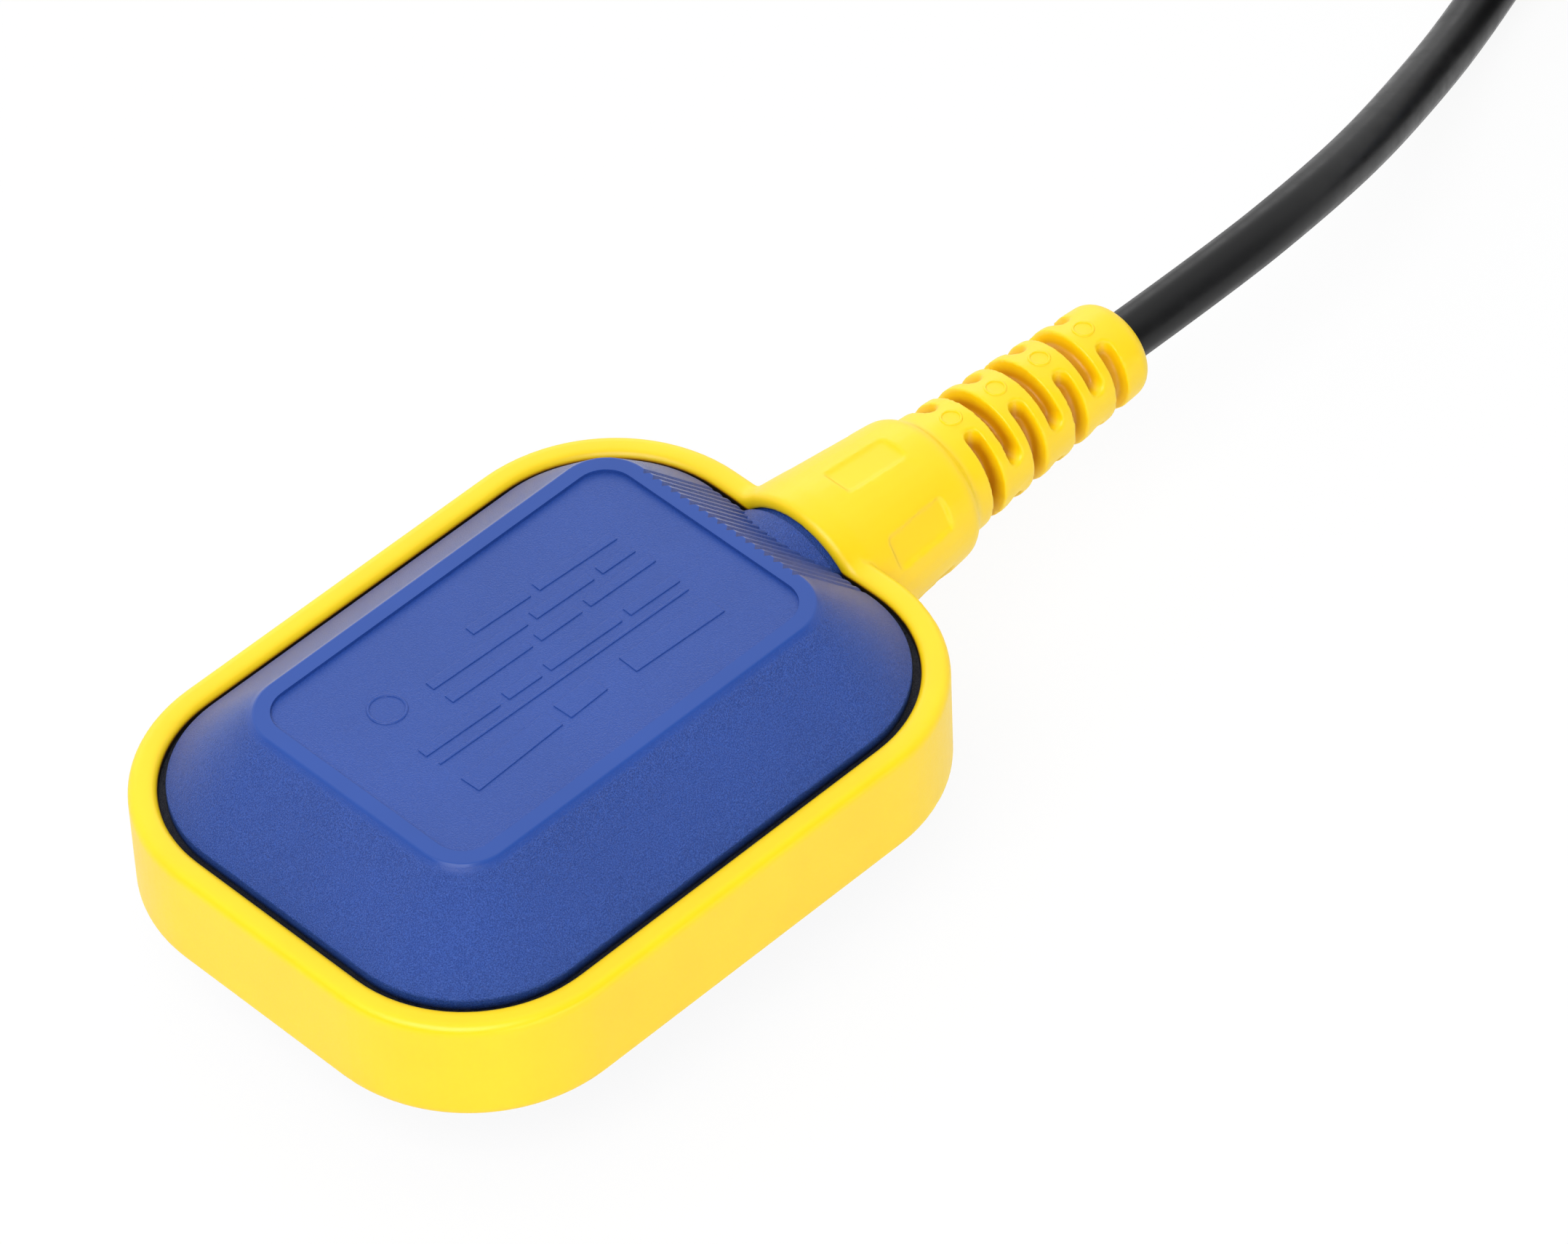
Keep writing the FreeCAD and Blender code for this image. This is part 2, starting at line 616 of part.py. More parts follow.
def shell_panel(shell):
    """The recessed panel inside the border."""
    panel = sketch(shell, "panel", "XY_Plane", "shell_half_height")
    rounded_rectangle(panel, "(border_half_length - border_width)", "(border_half_width - border_width)",
                      "(border_corner - border_width)")
    pocket(shell, panel, "panel_recess")


def shell_cavity(shell):
    """The hollow that makes the float light, one wall inside the outer shape."""
    low = sketch(shell, "cavity_floor", "XY_Plane")
    inside = ("(band_half_length - rim_width - shell_wall)", "(band_half_width - rim_width - shell_wall)",
              f"({BAND_CORNER} - rim_width - shell_wall)")
    rounded_rectangle(low, *inside)
    pocket(shell, low, CAVITY_LOW, forward=True)
    foot = sketch(shell, "cavity_foot", "XY_Plane", CAVITY_LOW)
    rounded_rectangle(foot, *inside)
    top = sketch(shell, "cavity_top", "XY_Plane", CAVITY_TOP)
    rounded_rectangle(top, *(f"({side} + {CAVITY_TOP_GROWTH})"
                             for side in ("border_half_length", "border_half_width", "border_corner")))
    loft(shell, [foot, top], cut=True)


def shell_ridges(shell):
    """The row of V grooves down the slope at the cable end, which leaves grip ridges."""
    vee = sketch(shell, "groove", "YZ_Plane")
    vee.AttachmentOffset = Placement(Vector(), Rotation(Vector(0, 1, 0), 0))
    bind(vee, "AttachmentOffset.Base.x", "-ridge_pitch * (ridge_count - 1) / 2")
    bind(vee, "AttachmentOffset.Base.y", "shell_half_height")
    bind(vee, "AttachmentOffset.Base.z", "border_half_length")
    bind(vee, "AttachmentOffset.Rotation.Axis.x", "1")
    bind(vee, "AttachmentOffset.Rotation.Axis.y", "0")
    bind(vee, "AttachmentOffset.Rotation.Axis.z", "0")
    bind(vee, "AttachmentOffset.Rotation.Angle", f"atan({SLOPE_RISE} / {SLOPE_RUN})")
    half = "(ridge_gap)"
    outline(vee, (("0", "-ridge_depth"), (half, "ridge_depth"), (f"-{half}", "ridge_depth")))
    groove = shell.newObject("PartDesign::Pocket", "Groove")
    groove.Profile = vee
    groove.SideType = "Two sides"
    groove.Reversed = True
    bind(groove, "Length", f"{SLOPE_LENGTH} + ridge_depth * 1.2")
    bind(groove, "Length2", "ridge_depth * 3")
    doc.recompute()
    pattern(shell, groove, vee, "H_Axis", "ridge_pitch", "ridge_count")


def shell_neck(shell):
    """The half-round boss and the spigot that the neck sits on."""
    profile = sketch(shell, "boss", "XZ_Plane")
    outline(profile, (("boss_start", "0"), ("boss_start", "boss_radius"), (BOSS_END, "boss_radius"),
                      (BOSS_END, "spigot_radius"), (SPIGOT_END, "spigot_radius"), (SPIGOT_END, "0")))
    boss = revolve(shell, profile)
    boss.Midplane = True
    boss.Angle = 180


def shell_chamber(shell):
    """The cable chamber through boss and spigot."""
    room = sketch(shell, "chamber", "XZ_Plane")
    outline(room, (("(boss_start - 5)", "0"), ("(boss_start - 5)", "chamber_radius"),
                   (f"({SPIGOT_END} + 1)", "chamber_radius"), (f"({SPIGOT_END} + 1)", "0")))
    return revolve(shell, room, cut=True)


def shell_ribs(shell):
    """Two cradle ribs that hold the switch capsule."""
    bottom, top = "capsule_half_height", f"({CAVITY_TOP} + shell_wall / 8)"
    for place, half in (("rear_rib", f"({TRACK_INSIDE} + capsule_wall)"),
                        ("front_rib", "(chamber_half_width + capsule_wall)")):
        face = sketch(shell, "rib", "YZ_Plane", f"{place} - rib_thickness / 2")
        inner = f"({half} + rib_play)"
        outer = f"({inner} + rib_shoulder)"
        grip = f"({bottom} - rib_grip)"
        outline(face, ((f"-{outer}", grip), (f"-{inner}", grip), (f"-{inner}", bottom), (inner, bottom),
                       (inner, grip), (outer, grip), (outer, top), (f"-{outer}", top)))
        pad(shell, face, "rib_thickness")


def seam_ring(shell, play):
    """The sketch of the tongue, or of its groove with play, half way through the skirt."""
    ring = sketch(shell, "seam", "XY_Plane")
    for sign in ("+", "-"):
        shift = f"(rim_width + shell_wall / 2 {'-' if sign == '+' else '+'} (tongue_width / 2 + {play}))"
        rounded_rectangle(ring, f"(band_half_length - {shift})", f"(band_half_width - {shift})",
                          f"({BAND_CORNER} - {shift})")
    return ring


def make_shell(label, tongue):
    """One half of the float: the upper one has the seam's tongue and the lower one its groove."""
    shell = body(label + "_body")
    shell_outside(shell)
    shell_panel(shell)
    shell_cavity(shell)
    shell_ridges(shell)
    shell_ribs(shell)
    shell_neck(shell)
    if tongue:
        pad(shell, seam_ring(shell, "0"), "tongue_height", reverse=True)
    else:
        pocket(shell, seam_ring(shell, "seam_play"), "tongue_height + seam_play", forward=True)
    shell.Tip = shell_chamber(shell)
    return shell


def make_shells():
    """Upper shell, and the lower one as a mirror image."""
    keep(make_shell("upper_shell", True), "upper_shell")
    lower = doc.addObject("Part::Mirroring", "lower_shell")
    lower.Source = make_shell("lower_shell", False)
    lower.Normal = Vector(0, 0, 1)
    keep(lower, "lower_shell")


def u_slot(made, middle, tip, far):
    """The outline of a slot with a round inner end, open to the outside at far."""
    half = value("slot_width / 2")
    centre, inner, outer = value(middle), value(tip), value(far)
    sign = 1 if outer > inner else -1
    hub = Vector(centre, inner + sign * half, 0)
    left, right = Vector(centre - half, hub.y, 0), Vector(centre + half, hub.y, 0)
    corner_right, corner_left = Vector(centre + half, outer, 0), Vector(centre - half, outer, 0)
    first = made.GeometryCount
    made.addGeometry(Part.Arc(left, hub - Vector(0, sign * half, 0), right), False)
    made.addGeometry(Part.LineSegment(right, corner_right), False)
    made.addGeometry(Part.LineSegment(corner_right, corner_left), False)
    made.addGeometry(Part.LineSegment(corner_left, left), False)
    block_all(made)


def boot_slots(boot, plane, kind, count, web, start):
    """One kind of slots: pairs that leave a web on each side of the boot."""
    cutter = sketch(boot, kind, plane)
    for sign in ("", "-"):
        u_slot(cutter, start, f"{sign}({web})", f"{sign}(boot_root_radius * 1.5)")
    first = pocket(boot, cutter, "boot_root_radius * 4", both_ways=True)
    doc.recompute()
    pattern(boot, first, cutter, "H_Axis", "slot_pitch", count)


def boot_marks(boot, start):
    """Round ejector marks between the ends of the side slots, above and below."""
    for lift, forward in (("boot_tip_radius", True), ("-boot_tip_radius", False)):
        disc = sketch(boot, "mark", "XY_Plane")
        taper = "((boot_root_radius - boot_tip_radius) / boot_length)"
        sign = "-" if lift.startswith("-") else ""
        bind(disc, "AttachmentOffset.Base.x", start)
        bind(disc, "AttachmentOffset.Base.z", f"{sign}(boot_root_radius - slot_start * {taper} - mark_depth)")
        bind(disc, "AttachmentOffset.Rotation.Axis.y", "1")
        bind(disc, "AttachmentOffset.Rotation.Axis.z", "0")
        bind(disc, "AttachmentOffset.Rotation.Angle", f"{sign}atan({taper})")
        circle(disc, "0", "0", "mark_radius")
        recess = pocket(boot, disc, "boot_root_radius", forward=forward)
        doc.recompute()
        pattern(boot, recess, disc, "H_Axis", f"slot_pitch / cos(atan({taper}))", "side_slots")


def boot_outside(band):
    """The flexible boot on the neck's end: a slotted taper and a solid core round the cable."""
    profile = sketch(band, "boot", "XZ_Plane")
    foot = f"({NECK_END} - neck_end_wall)"
    outline(profile, ((foot, "0"), (foot, "boot_root_radius"), (NECK_END, "boot_root_radius"),
                      (BOOT_END, "boot_tip_radius"), (BOOT_END, "0")))
    turned = revolve(band, profile)
    tipped = fillet(band, turned, "boot_tip_round", lambda edge: ring_edge(edge, value(BOOT_END)))
    fillet(band, tipped, "boot_blend", valley_edge)
    first = f"({NECK_END} + slot_start)"
    boot_slots(band, "XY_Plane", "side_slot", "side_slots", "side_web", first)
    boot_slots(band, "XZ_Plane", "top_slot", "top_slots", "top_web", f"({first} + slot_pitch / 2)")
    core = sketch(band, "core", "XZ_Plane")
    tip = f"({BOOT_END} - boot_tip_round)"
    outline(core, ((NECK_END, "0"), (NECK_END, "boot_core_radius"), (tip, "boot_core_radius"), (tip, "0")))
    revolve(band, core)
    boot_marks(band, first)


def lathe(label, corners):
    """A piece turned about the long axis from its half profile."""
    made = body(label)
    profile = sketch(made, "profile", "XZ_Plane")
    outline(profile, corners)
    revolve(made, profile)
    return made


def make_seals(leads):
    """The cable's inner end, and the grommet and the resin that keep water out of the float."""
    keep(lathe("cable_entry", ((CABLE_START, "0"), (CABLE_START, "cable_radius"),
                               (BOOT_END, "cable_radius"), (BOOT_END, "0"))), "cable_entry")
    end = f"({NECK_END} - neck_end_wall)"
    start = f"({SPIGOT_END} + grommet_setback)"
    ring = f"(({end} - {start}) / 5)"
    low = "(seat_radius - grommet_groove)"
    corners = [(start, "cable_radius"), (start, "seat_radius")]
    for number in (1, 3):
        near_side, far_side = f"({start} + {ring} * {number})", f"({start} + {ring} * {number + 1})"
        corners += [(near_side, "seat_radius"), (near_side, low), (far_side, low), (far_side, "seat_radius")]
    corners += [(end, "seat_radius"), (end, "cable_radius")]
    keep(lathe("sealing_grommet", corners), "sealing_grommet")
    plug = lathe("resin_block", (("resin_start", "0"), ("resin_start", "chamber_radius"),
                                 (SPIGOT_END, "chamber_radius"), (SPIGOT_END, "cable_radius"),
                                 (CABLE_START, "cable_radius"), (CABLE_START, "0")))
    move_to_frame(plug)
    place_in_part(cut("resin_plug", plug, fuse("leads_in_resin", leads)), "resin_plug")


# Where each lead runs in the cable: beside and above the axis
LEAD_PLACES = {
    "lead_brown": ("(-lead_circle * cos(30))", "(-lead_circle / 2)"),
    "lead_black": ("0", "lead_circle"),
    "lead_blue": ("(lead_circle * cos(30))", "(-lead_circle / 2)"),
}


def tube_path(points):
    """Straight runs joined by tangent arcs, and the arcs' radii."""
    edges, radii = [], []
    start = points[0]
    for before, corner, after in zip(points, points[1:], points[2:]):
        inward, onward = (before - corner), (after - corner)
        turn = math.pi - inward.getAngle(onward)
        back = ROUND_SHARE * min(inward.Length, onward.Length)
        radii.append(back / math.tan(turn / 2))
        first = corner + inward.normalize() * back
        last = corner + onward.normalize() * back
        bulge = (first + last) / 2 - corner
        apex = corner + bulge.normalize() * (radii[-1] / math.cos(turn / 2) - radii[-1])
        edges.append(Part.LineSegment(start, first).toShape())
        edges.append(Part.Arc(first, apex, last).toShape())
        start = last
    edges.append(Part.LineSegment(start, points[-1]).toShape())
    return Part.Wire(edges), radii


def tube(label, points, radius):
    """A round tube along a route: a feature of its own, placed as the route is."""
    path, radii = tube_path(points)
    ring = Part.Wire(Part.Circle(points[0], points[1] - points[0], radius).toShape())
    made = doc.addObject("Part::Feature", label)
    made.Shape = path.makePipeShell([ring], True, False)
    share = made.Shape.Volume / (math.pi * radius ** 2 * path.Length)
    print(f"{label}: length {path.Length:.1f} mm, radii {[round(r, 1) for r in radii]},"
          f" volume {share:.4f} of section times length")
    return made


def make_leads():
    """The three leads from the terminals to the cable's inner end, where the resin takes them in."""
    start, end, bend = value(TERMINAL_END), value(CABLE_START), value("resin_start - lead_radius")
    leads = []
    for number, (label, (across, up)) in enumerate(LEAD_PLACES.items()):
        side = value(f"terminal_spacing * {number - 1}")
        points = [Vector(start, side, 0), Vector(start + value("lead_radius * 4"), side, 0),
                  Vector(bend, value(across), value(up)), Vector(end, value(across), value(up))]
        leads.append(tube(label, points, value("lead_radius")))
        keep(leads[-1], label)
    return leads


def coil_point(angle, outwards, height):
    """A point over the coil, by its angle in degrees, its radius and its height."""
    turn = math.radians(angle)
    return Vector(COIL_CENTRE[0] + outwards * math.cos(turn), COIL_CENTRE[1] + outwards * math.sin(turn), height)


def make_cable():
    """The free cable down to the floor and on to the coil, and the coil with its strap."""
    heading = math.radians(COIL_ENTRY_HEADING)
    level = value("tie_thickness + cable_radius")
    ahead = Vector(math.cos(heading), math.sin(heading), 0)
    touch = coil_point(COIL_ENTRY_HEADING + 90, value(COLUMN_OUT), level)
    join = touch - ahead * value("coil_lead")
    route = [Vector(*point) for point in CABLE_ROUTE]
    route[0] = Vector(value(f"{BOOT_END} - {HALF_SPAN}"), 0, value("shell_half_height"))
    place_in_part(tube("cable", route + [join], value("cable_radius")), "cable")
    make_coil(join)
    make_tie()


def drum(name, radius, foot, height, sweep="360"):
    """A cylinder on the coil's axis, or a sector of one from where the sheath ends."""
    made = doc.addObject("Part::Cylinder", name)
    bind(made, "Radius", radius)
    bind(made, "Height", height)
    bind(made, "Angle", sweep)
    made.Placement = Placement(Vector(COIL_CENTRE[0], COIL_CENTRE[1], 0), Rotation(Vector(0, 0, 1), SHEATH_END))
    bind(made, "Placement.Base.z", foot)
    return made


def make_coil(join):
    """The put-away length as one solid: whole layers of two turns, and a last layer that ends early."""
    layers = drum("whole_layers", f"({COLUMN_OUT} + cable_radius)", "tie_thickness",
                  "coil_layers * 2 * cable_radius")
    inner_turn = drum("last_inner_turn", "coil_radius", LAYERS_TOP, "2 * cable_radius")
    outer_turn = drum("last_outer_turn", f"({COLUMN_OUT} + cable_radius)", LAYERS_TOP, "2 * cable_radius",
                      "coil_last_turn")
    eye = drum("coil_eye", f"({COLUMN_IN} - cable_radius)", "0", f"{COIL_TOP} * 2")
    lead = doc.addObject("Part::Cylinder", "coil_start")
    bind(lead, "Radius", "cable_radius")
    bind(lead, "Height", "coil_lead")
    turn = Rotation(Vector(0, 0, 1), COIL_ENTRY_HEADING).multiply(Rotation(Vector(0, 1, 0), 90))
    lead.Placement = Placement(join, turn)
    turns = fuse("coil_turns", [layers, inner_turn, outer_turn, lead])
    place_in_part(cut("cable_coil", turns, eye), "cable_coil")


def make_tie():
    """The strap that holds the coil together, wrapped close round all of its turns."""
    tie = body("coil_tie")
    side = sketch(tie, "side", "XZ_Plane")
    inner, outer = f"({COLUMN_IN} - cable_radius)", f"({COLUMN_OUT} + cable_radius)"
    box_outline(side, inner, outer, "tie_thickness", COIL_TOP)
    box_outline(side, f"({inner} - tie_thickness)", f"({outer} + tie_thickness)", "0",
                f"({COIL_TOP} + tie_thickness)")
    turned = tie.newObject("PartDesign::Revolution", "Turned")
    turned.Profile = side
    turned.ReferenceAxis = (side, ["V_Axis"])
    turned.Midplane = True
    bind(turned, "Angle", "tie_angle")
    doc.recompute()
    tie.Placement = Placement(Vector(COIL_CENTRE[0], COIL_CENTRE[1], 0),
                              Rotation(Vector(0, 0, 1), COIL_ENTRY_HEADING - 70))
    place_in_part(tie, "coil_tie")


def make_tails():
    """The cores that come out of the sheath at the free end, with bare strands at their tips."""
    middle = value(f"{COIL_TOP} - cable_radius")
    strands = []
    for label, steps in TAIL_ROUTES.items():
        points = [coil_point(SHEATH_END - past, outwards, middle + rise) for past, outwards, rise in steps]
        place_in_part(tube(label, points, value("tail_radius")), label)
        aim = points[-1] - points[-2]
        aim.normalize()
        strands.append(Part.makeCylinder(value("strand_radius"), STRAND_LENGTH, points[-1], aim))
    made = doc.addObject("Part::Feature", "conductor_tips")
    made.Shape = Part.makeCompound(strands)
    place_in_part(made, "conductor_tips")


def capsule_outline(made, grow):
    """The capsule's plan: a narrow ball track that widens to the switch chamber."""
    back, step = f"({TRACK_END} - {grow})", f"({CHAMBER_START} - {grow})"
    front = f"(capsule_front - capsule_wall + {grow})"
    track, room = f"({TRACK_INSIDE} + {grow})", f"(chamber_half_width + {grow})"
    outline(made, ((back, f"-{track}"), (step, f"-{track}"), (step, f"-{room}"), (front, f"-{room}"),
                   (front, room), (step, room), (step, track), (back, track)))


def make_case():
    """Tray of the capsule: ball track, switch chamber, posts for the switch and the lever's seats."""
    case = body("switch_case")
    plan = sketch(case, "plan", "XY_Plane", "-capsule_half_height")
    capsule_outline(plan, "capsule_wall")
    pad(case, plan, f"capsule_half_height + {CAPSULE_FLOOR}")
    room = sketch(case, "room", "XY_Plane", CAPSULE_FLOOR)
    capsule_outline(room, "0")
    pocket(case, room, f"{CAPSULE_FLOOR} * 2")
    holes = "(switch_face + post_setback)"
    for radius, top in (("post_foot_radius", "-switch_half_thickness"),
                        ("post_radius", "(switch_half_thickness + post_radius / 2)")):
        feet = sketch(case, "feet", "XY_Plane", f"-{CAPSULE_FLOOR}")
        for sign in ("", "-"):
            circle(feet, holes, f"{sign}(post_spacing / 2)", radius)
        pad(case, feet, f"{top} + {CAPSULE_FLOOR}")
    window = sketch(case, "window", "YZ_Plane", "capsule_front - capsule_wall / 2")
    box_outline(window, "-window_half_width", "window_half_width", "-window_half_height", "window_half_height")
    pocket(case, window, "capsule_wall * 1.5", both_ways=True)
    seats = sketch(case, "pin_seats", "XZ_Plane")
    circle(seats, "pivot_along", "-pivot_down", "pin_radius")
    case.Tip = pocket(case, seats, "pin_half_length * 2", both_ways=True)
    keep(case, "switch_case")


def make_cover():
    """Lid of the capsule, centred by a shallow rim."""
    cover = body("switch_cover")
    plan = sketch(cover, "plan", "XY_Plane", CAPSULE_FLOOR)
    capsule_outline(plan, "capsule_wall")
    pad(cover, plan, "capsule_wall")
    rim = sketch(cover, "rim", "XY_Plane", CAPSULE_FLOOR)
    capsule_outline(rim, "(-cover_play)")
    capsule_outline(rim, "(-cover_play - capsule_wall / 2)")
    cover.Tip = pad(cover, rim, "cover_rim", reverse=True)
    keep(cover, "switch_cover")


def make_ball():
    """Steel ball on the floor of its track."""
    ball = doc.addObject("Part::Sphere", "steel_ball")
    bind(ball, "Radius", "ball_radius")
    keep(ball, "steel_ball", "ball_rest", f"ball_radius + ball_play - {CAPSULE_FLOOR}")


def make_lever():
    """The lever that the ball tips against the plunger, and its pin."""
    lever = body("ball_lever")
    hub = sketch(lever, "hub", "XZ_Plane")
    circle(hub, "pivot_along", "-pivot_down", "hub_radius")
    pad(lever, hub, "lever_half_width * 2", both_ways=True)
    arm = sketch(lever, "arm", "XZ_Plane")
    box_outline(arm, "(pivot_along - lever_thickness / 2)", "(pivot_along + lever_thickness / 2)",
                "(-pivot_down)", "(lever_rise - pivot_down)")
    pad(lever, arm, "lever_half_width * 2", both_ways=True)
    bore = sketch(lever, "bore", "XZ_Plane")
    circle(bore, "pivot_along", "-pivot_down", "(pin_radius + pin_play)")
    lever.Tip = pocket(lever, bore, "lever_half_width * 4", both_ways=True)
    keep(lever, "ball_lever")
    pin = body("lever_pin")
    rod = sketch(pin, "rod", "XZ_Plane")
    circle(rod, "pivot_along", "-pivot_down", "pin_radius")
    pad(pin, rod, "pin_half_length * 2", both_ways=True)
    keep(pin, "lever_pin")


def switch_plan(made):
    """The microswitch's plan."""
    box_outline(made, "switch_face", SWITCH_BACK, "-switch_half_length", "switch_half_length")


def mounting_holes(owner, lift):
    """Cuts the two holes that the posts stand in."""
    holes = sketch(owner, "holes", "XY_Plane", lift)
    for sign in ("", "-"):
        circle(holes, "(switch_face + post_setback)", f"{sign}(post_spacing / 2)", "(post_radius + post_play)")
    return pocket(owner, holes, "switch_half_thickness * 4", both_ways=True)


def make_microswitch():
    """Body and cover of the microswitch, and its plunger."""
    case = body("microswitch_body")
    plan = sketch(case, "plan", "XY_Plane", "-switch_half_thickness")
    switch_plan(plan)
    joint = "(switch_half_thickness - switch_cover_thickness)"
    pad(case, plan, f"switch_half_thickness + {joint}")
    room = sketch(case, "room", "XY_Plane", joint)
    box_outline(room, "(switch_face + switch_wall)", f"({SWITCH_BACK} - switch_wall)",
                "-switch_cavity_half", "switch_cavity_half")
    pocket(case, room, f"switch_half_thickness + {joint} - switch_wall")
    guide = sketch(case, "guide", "YZ_Plane", "switch_face")
    circle(guide, "plunger_side", "0", "(plunger_radius + plunger_play)")
    pocket(case, guide, "switch_wall * 3", both_ways=True)
    slots = sketch(case, "slots", "YZ_Plane", SWITCH_BACK)
    for number in (-1, 0, 1):
        middle = f"(terminal_spacing * {number})"
        box_outline(slots, f"({middle} - terminal_half_width)", f"({middle} + terminal_half_width)",
                    "(-terminal_thickness / 2)", "(terminal_thickness / 2)")
    pocket(case, slots, "switch_wall * 3", both_ways=True)
    case.Tip = mounting_holes(case, "0")
    keep(case, "microswitch_body")
    cover = body("microswitch_cover")
    plan = sketch(cover, "plan", "XY_Plane", joint)
    switch_plan(plan)
    pad(cover, plan, "switch_cover_thickness")
    cover.Tip = mounting_holes(cover, joint)
    keep(cover, "microswitch_cover")
    plunger = body("microswitch_plunger")
    rod = sketch(plunger, "rod", "YZ_Plane", "switch_face - plunger_reach")
    circle(rod, "plunger_side", "0", "plunger_radius")
    pad(plunger, rod, "plunger_reach + plunger_tail")
    collar = sketch(plunger, "collar", "YZ_Plane", "switch_face + switch_wall + plunger_play * 2")
    circle(collar, "plunger_side", "0", "collar_radius")
    plunger.Tip = pad(plunger, collar, "collar_width")
    keep(plunger, "microswitch_plunger")


def terminal(label, number, inner_end, blocks):
    """A terminal strip through the back wall with a soldering eye, and its inner blocks."""
    middle = f"(terminal_spacing * {number})"
    sides = (f"({middle} - terminal_half_width)", f"({middle} + terminal_half_width)")
    flat = ("(-terminal_thickness / 2)", "(terminal_thickness / 2)")
    strip = block(label + "_strip", ((inner_end, TERMINAL_END), sides, flat))
    solid = fuse(label + "_solid", [strip] + blocks)
    eye = cylinder(label + "_eye", "terminal_eye", "terminal_thickness * 3",
                   (f"({TERMINAL_END} - terminal_eye * 2.5)", middle, "(-terminal_thickness * 1.5)"))
    keep(cut(label, solid, eye), label)


def make_contacts():
    """The spring blade and the three terminals with their contacts."""
    common = "(-terminal_spacing)"
    front = f"({BLADE_BACK} - blade_thickness)"
    root = f"({common} - terminal_half_width)"
    blade = block("contact_blade", ((front, BLADE_BACK), (root, "blade_tip"),
                                    ("(-blade_half_height)", "blade_half_height")))
    keep(blade, "contact_blade", front, "(-blade_half_height)")
    rise = ("(-contact_rise)", "contact_rise")
    terminal("terminal_common", -1, f"({BLADE_BACK} + terminal_thickness)",
             [block("common_root", ((BLADE_BACK, f"({BLADE_BACK} + terminal_thickness * 1.5)"),
                                    (root, common), rise))])
    open_face = f"({BLADE_BACK} + contact_gap)"
    tip_side = ("(terminal_spacing - terminal_half_width)", "(terminal_spacing + terminal_half_width * 0.8)")
    terminal("terminal_open", 1, open_face,
             [block("open_contact", ((open_face, f"({open_face} + terminal_thickness)"), tip_side, rise))])
    closed_face = f"({front} - contact_touch)"
    under_top = "(-contact_rise - terminal_thickness)"
    under_low = f"({under_top} - terminal_thickness)"
    middle = ("(-terminal_half_width)", "terminal_half_width")
    riser = "(switch_face + switch_depth / 2)"
    terminal("terminal_closed", 0, riser, [
        block("closed_riser", ((riser, f"({riser} + terminal_thickness)"), middle,
                               (under_low, "(terminal_thickness / 2)"))),
        block("closed_floor", ((f"({closed_face} - terminal_thickness)", f"({riser} + terminal_thickness)"),
                               middle, (under_low, under_top))),
        block("closed_arm", ((f"({closed_face} - terminal_thickness)", closed_face),
                             ("(-terminal_half_width)", tip_side[1]), (under_low, under_top))),
        block("closed_contact", ((f"({closed_face} - terminal_thickness)", closed_face), tip_side,
                                 (under_low, "contact_rise"))),
    ])


def check_and_write():
    """Stops on any failed object, then writes each piece to its own file."""
    doc.recompute()
    failed = [thing.Name for thing in doc.Objects if {"Invalid", "Error"} & set(thing.State)]
    if failed:
        raise RuntimeError(f"failed: {failed}")
    os.makedirs("parts", exist_ok=True)
    for thing in pieces:
        shape = thing.Shape
        if shape.isNull() or not shape.isValid():
            raise RuntimeError(f"{thing.Label} has no valid shape")
        shape.exportStep(f"parts/{thing.Label}.step")
        print(f"{thing.Label}: {len(shape.Solids)} solids, {shape.Volume:.1f} mm3")


fill_sheet()
make_band()
make_shells()
make_seals(make_leads())
make_case()
make_cover()
make_ball()
make_lever()
make_microswitch()
make_contacts()
make_cable()
make_tails()
check_and_write()
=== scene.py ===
"""Looks of the cable float switch: camera, light, cable, moulding, panel relief and materials."""

import json
import math

import bpy
from mathutils import Matrix, Vector

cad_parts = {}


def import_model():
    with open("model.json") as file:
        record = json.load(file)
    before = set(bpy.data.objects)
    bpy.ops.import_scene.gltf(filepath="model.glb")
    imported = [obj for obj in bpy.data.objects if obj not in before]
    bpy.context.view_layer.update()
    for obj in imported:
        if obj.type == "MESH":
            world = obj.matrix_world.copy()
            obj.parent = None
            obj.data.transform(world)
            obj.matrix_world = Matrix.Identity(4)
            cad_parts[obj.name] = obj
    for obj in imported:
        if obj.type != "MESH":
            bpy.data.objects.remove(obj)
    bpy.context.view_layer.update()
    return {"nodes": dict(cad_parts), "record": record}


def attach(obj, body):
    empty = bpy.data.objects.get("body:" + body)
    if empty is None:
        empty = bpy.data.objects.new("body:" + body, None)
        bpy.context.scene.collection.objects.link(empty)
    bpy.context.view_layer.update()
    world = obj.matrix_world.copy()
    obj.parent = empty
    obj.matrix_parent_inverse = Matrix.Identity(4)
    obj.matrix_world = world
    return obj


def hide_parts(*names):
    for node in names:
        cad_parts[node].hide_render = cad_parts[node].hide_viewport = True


MM = 0.001
WHITE = (1.0, 1.0, 1.0, 1.0)

# Camera, as solved on the photograph: aim point on the float, distance, and angles in degrees
CAMERA_AIM = (11.585 * MM, -4.414 * MM, 21.35 * MM)
CAMERA_DISTANCE = 1.300265
CAMERA_AZIMUTH = -43.327
CAMERA_ELEVATION = 45.554
CAMERA_ROLL = -2.613
CAMERA_LENS = 218.745
CAMERA_SENSOR = 36

# The room: the side from which it is bright, where it turns from dim to bright, its strength on
# the dim and the bright side, and its tint
ROOM_BRIGHT_SIDE = (0.66, 0.75, 0.0)
ROOM_TURN = (-0.25, 0.5)
ROOM_DIM, ROOM_BRIGHT = 0.18, 1.20
ROOM_TINT = (0.96, 0.98, 1.0, 1.0)

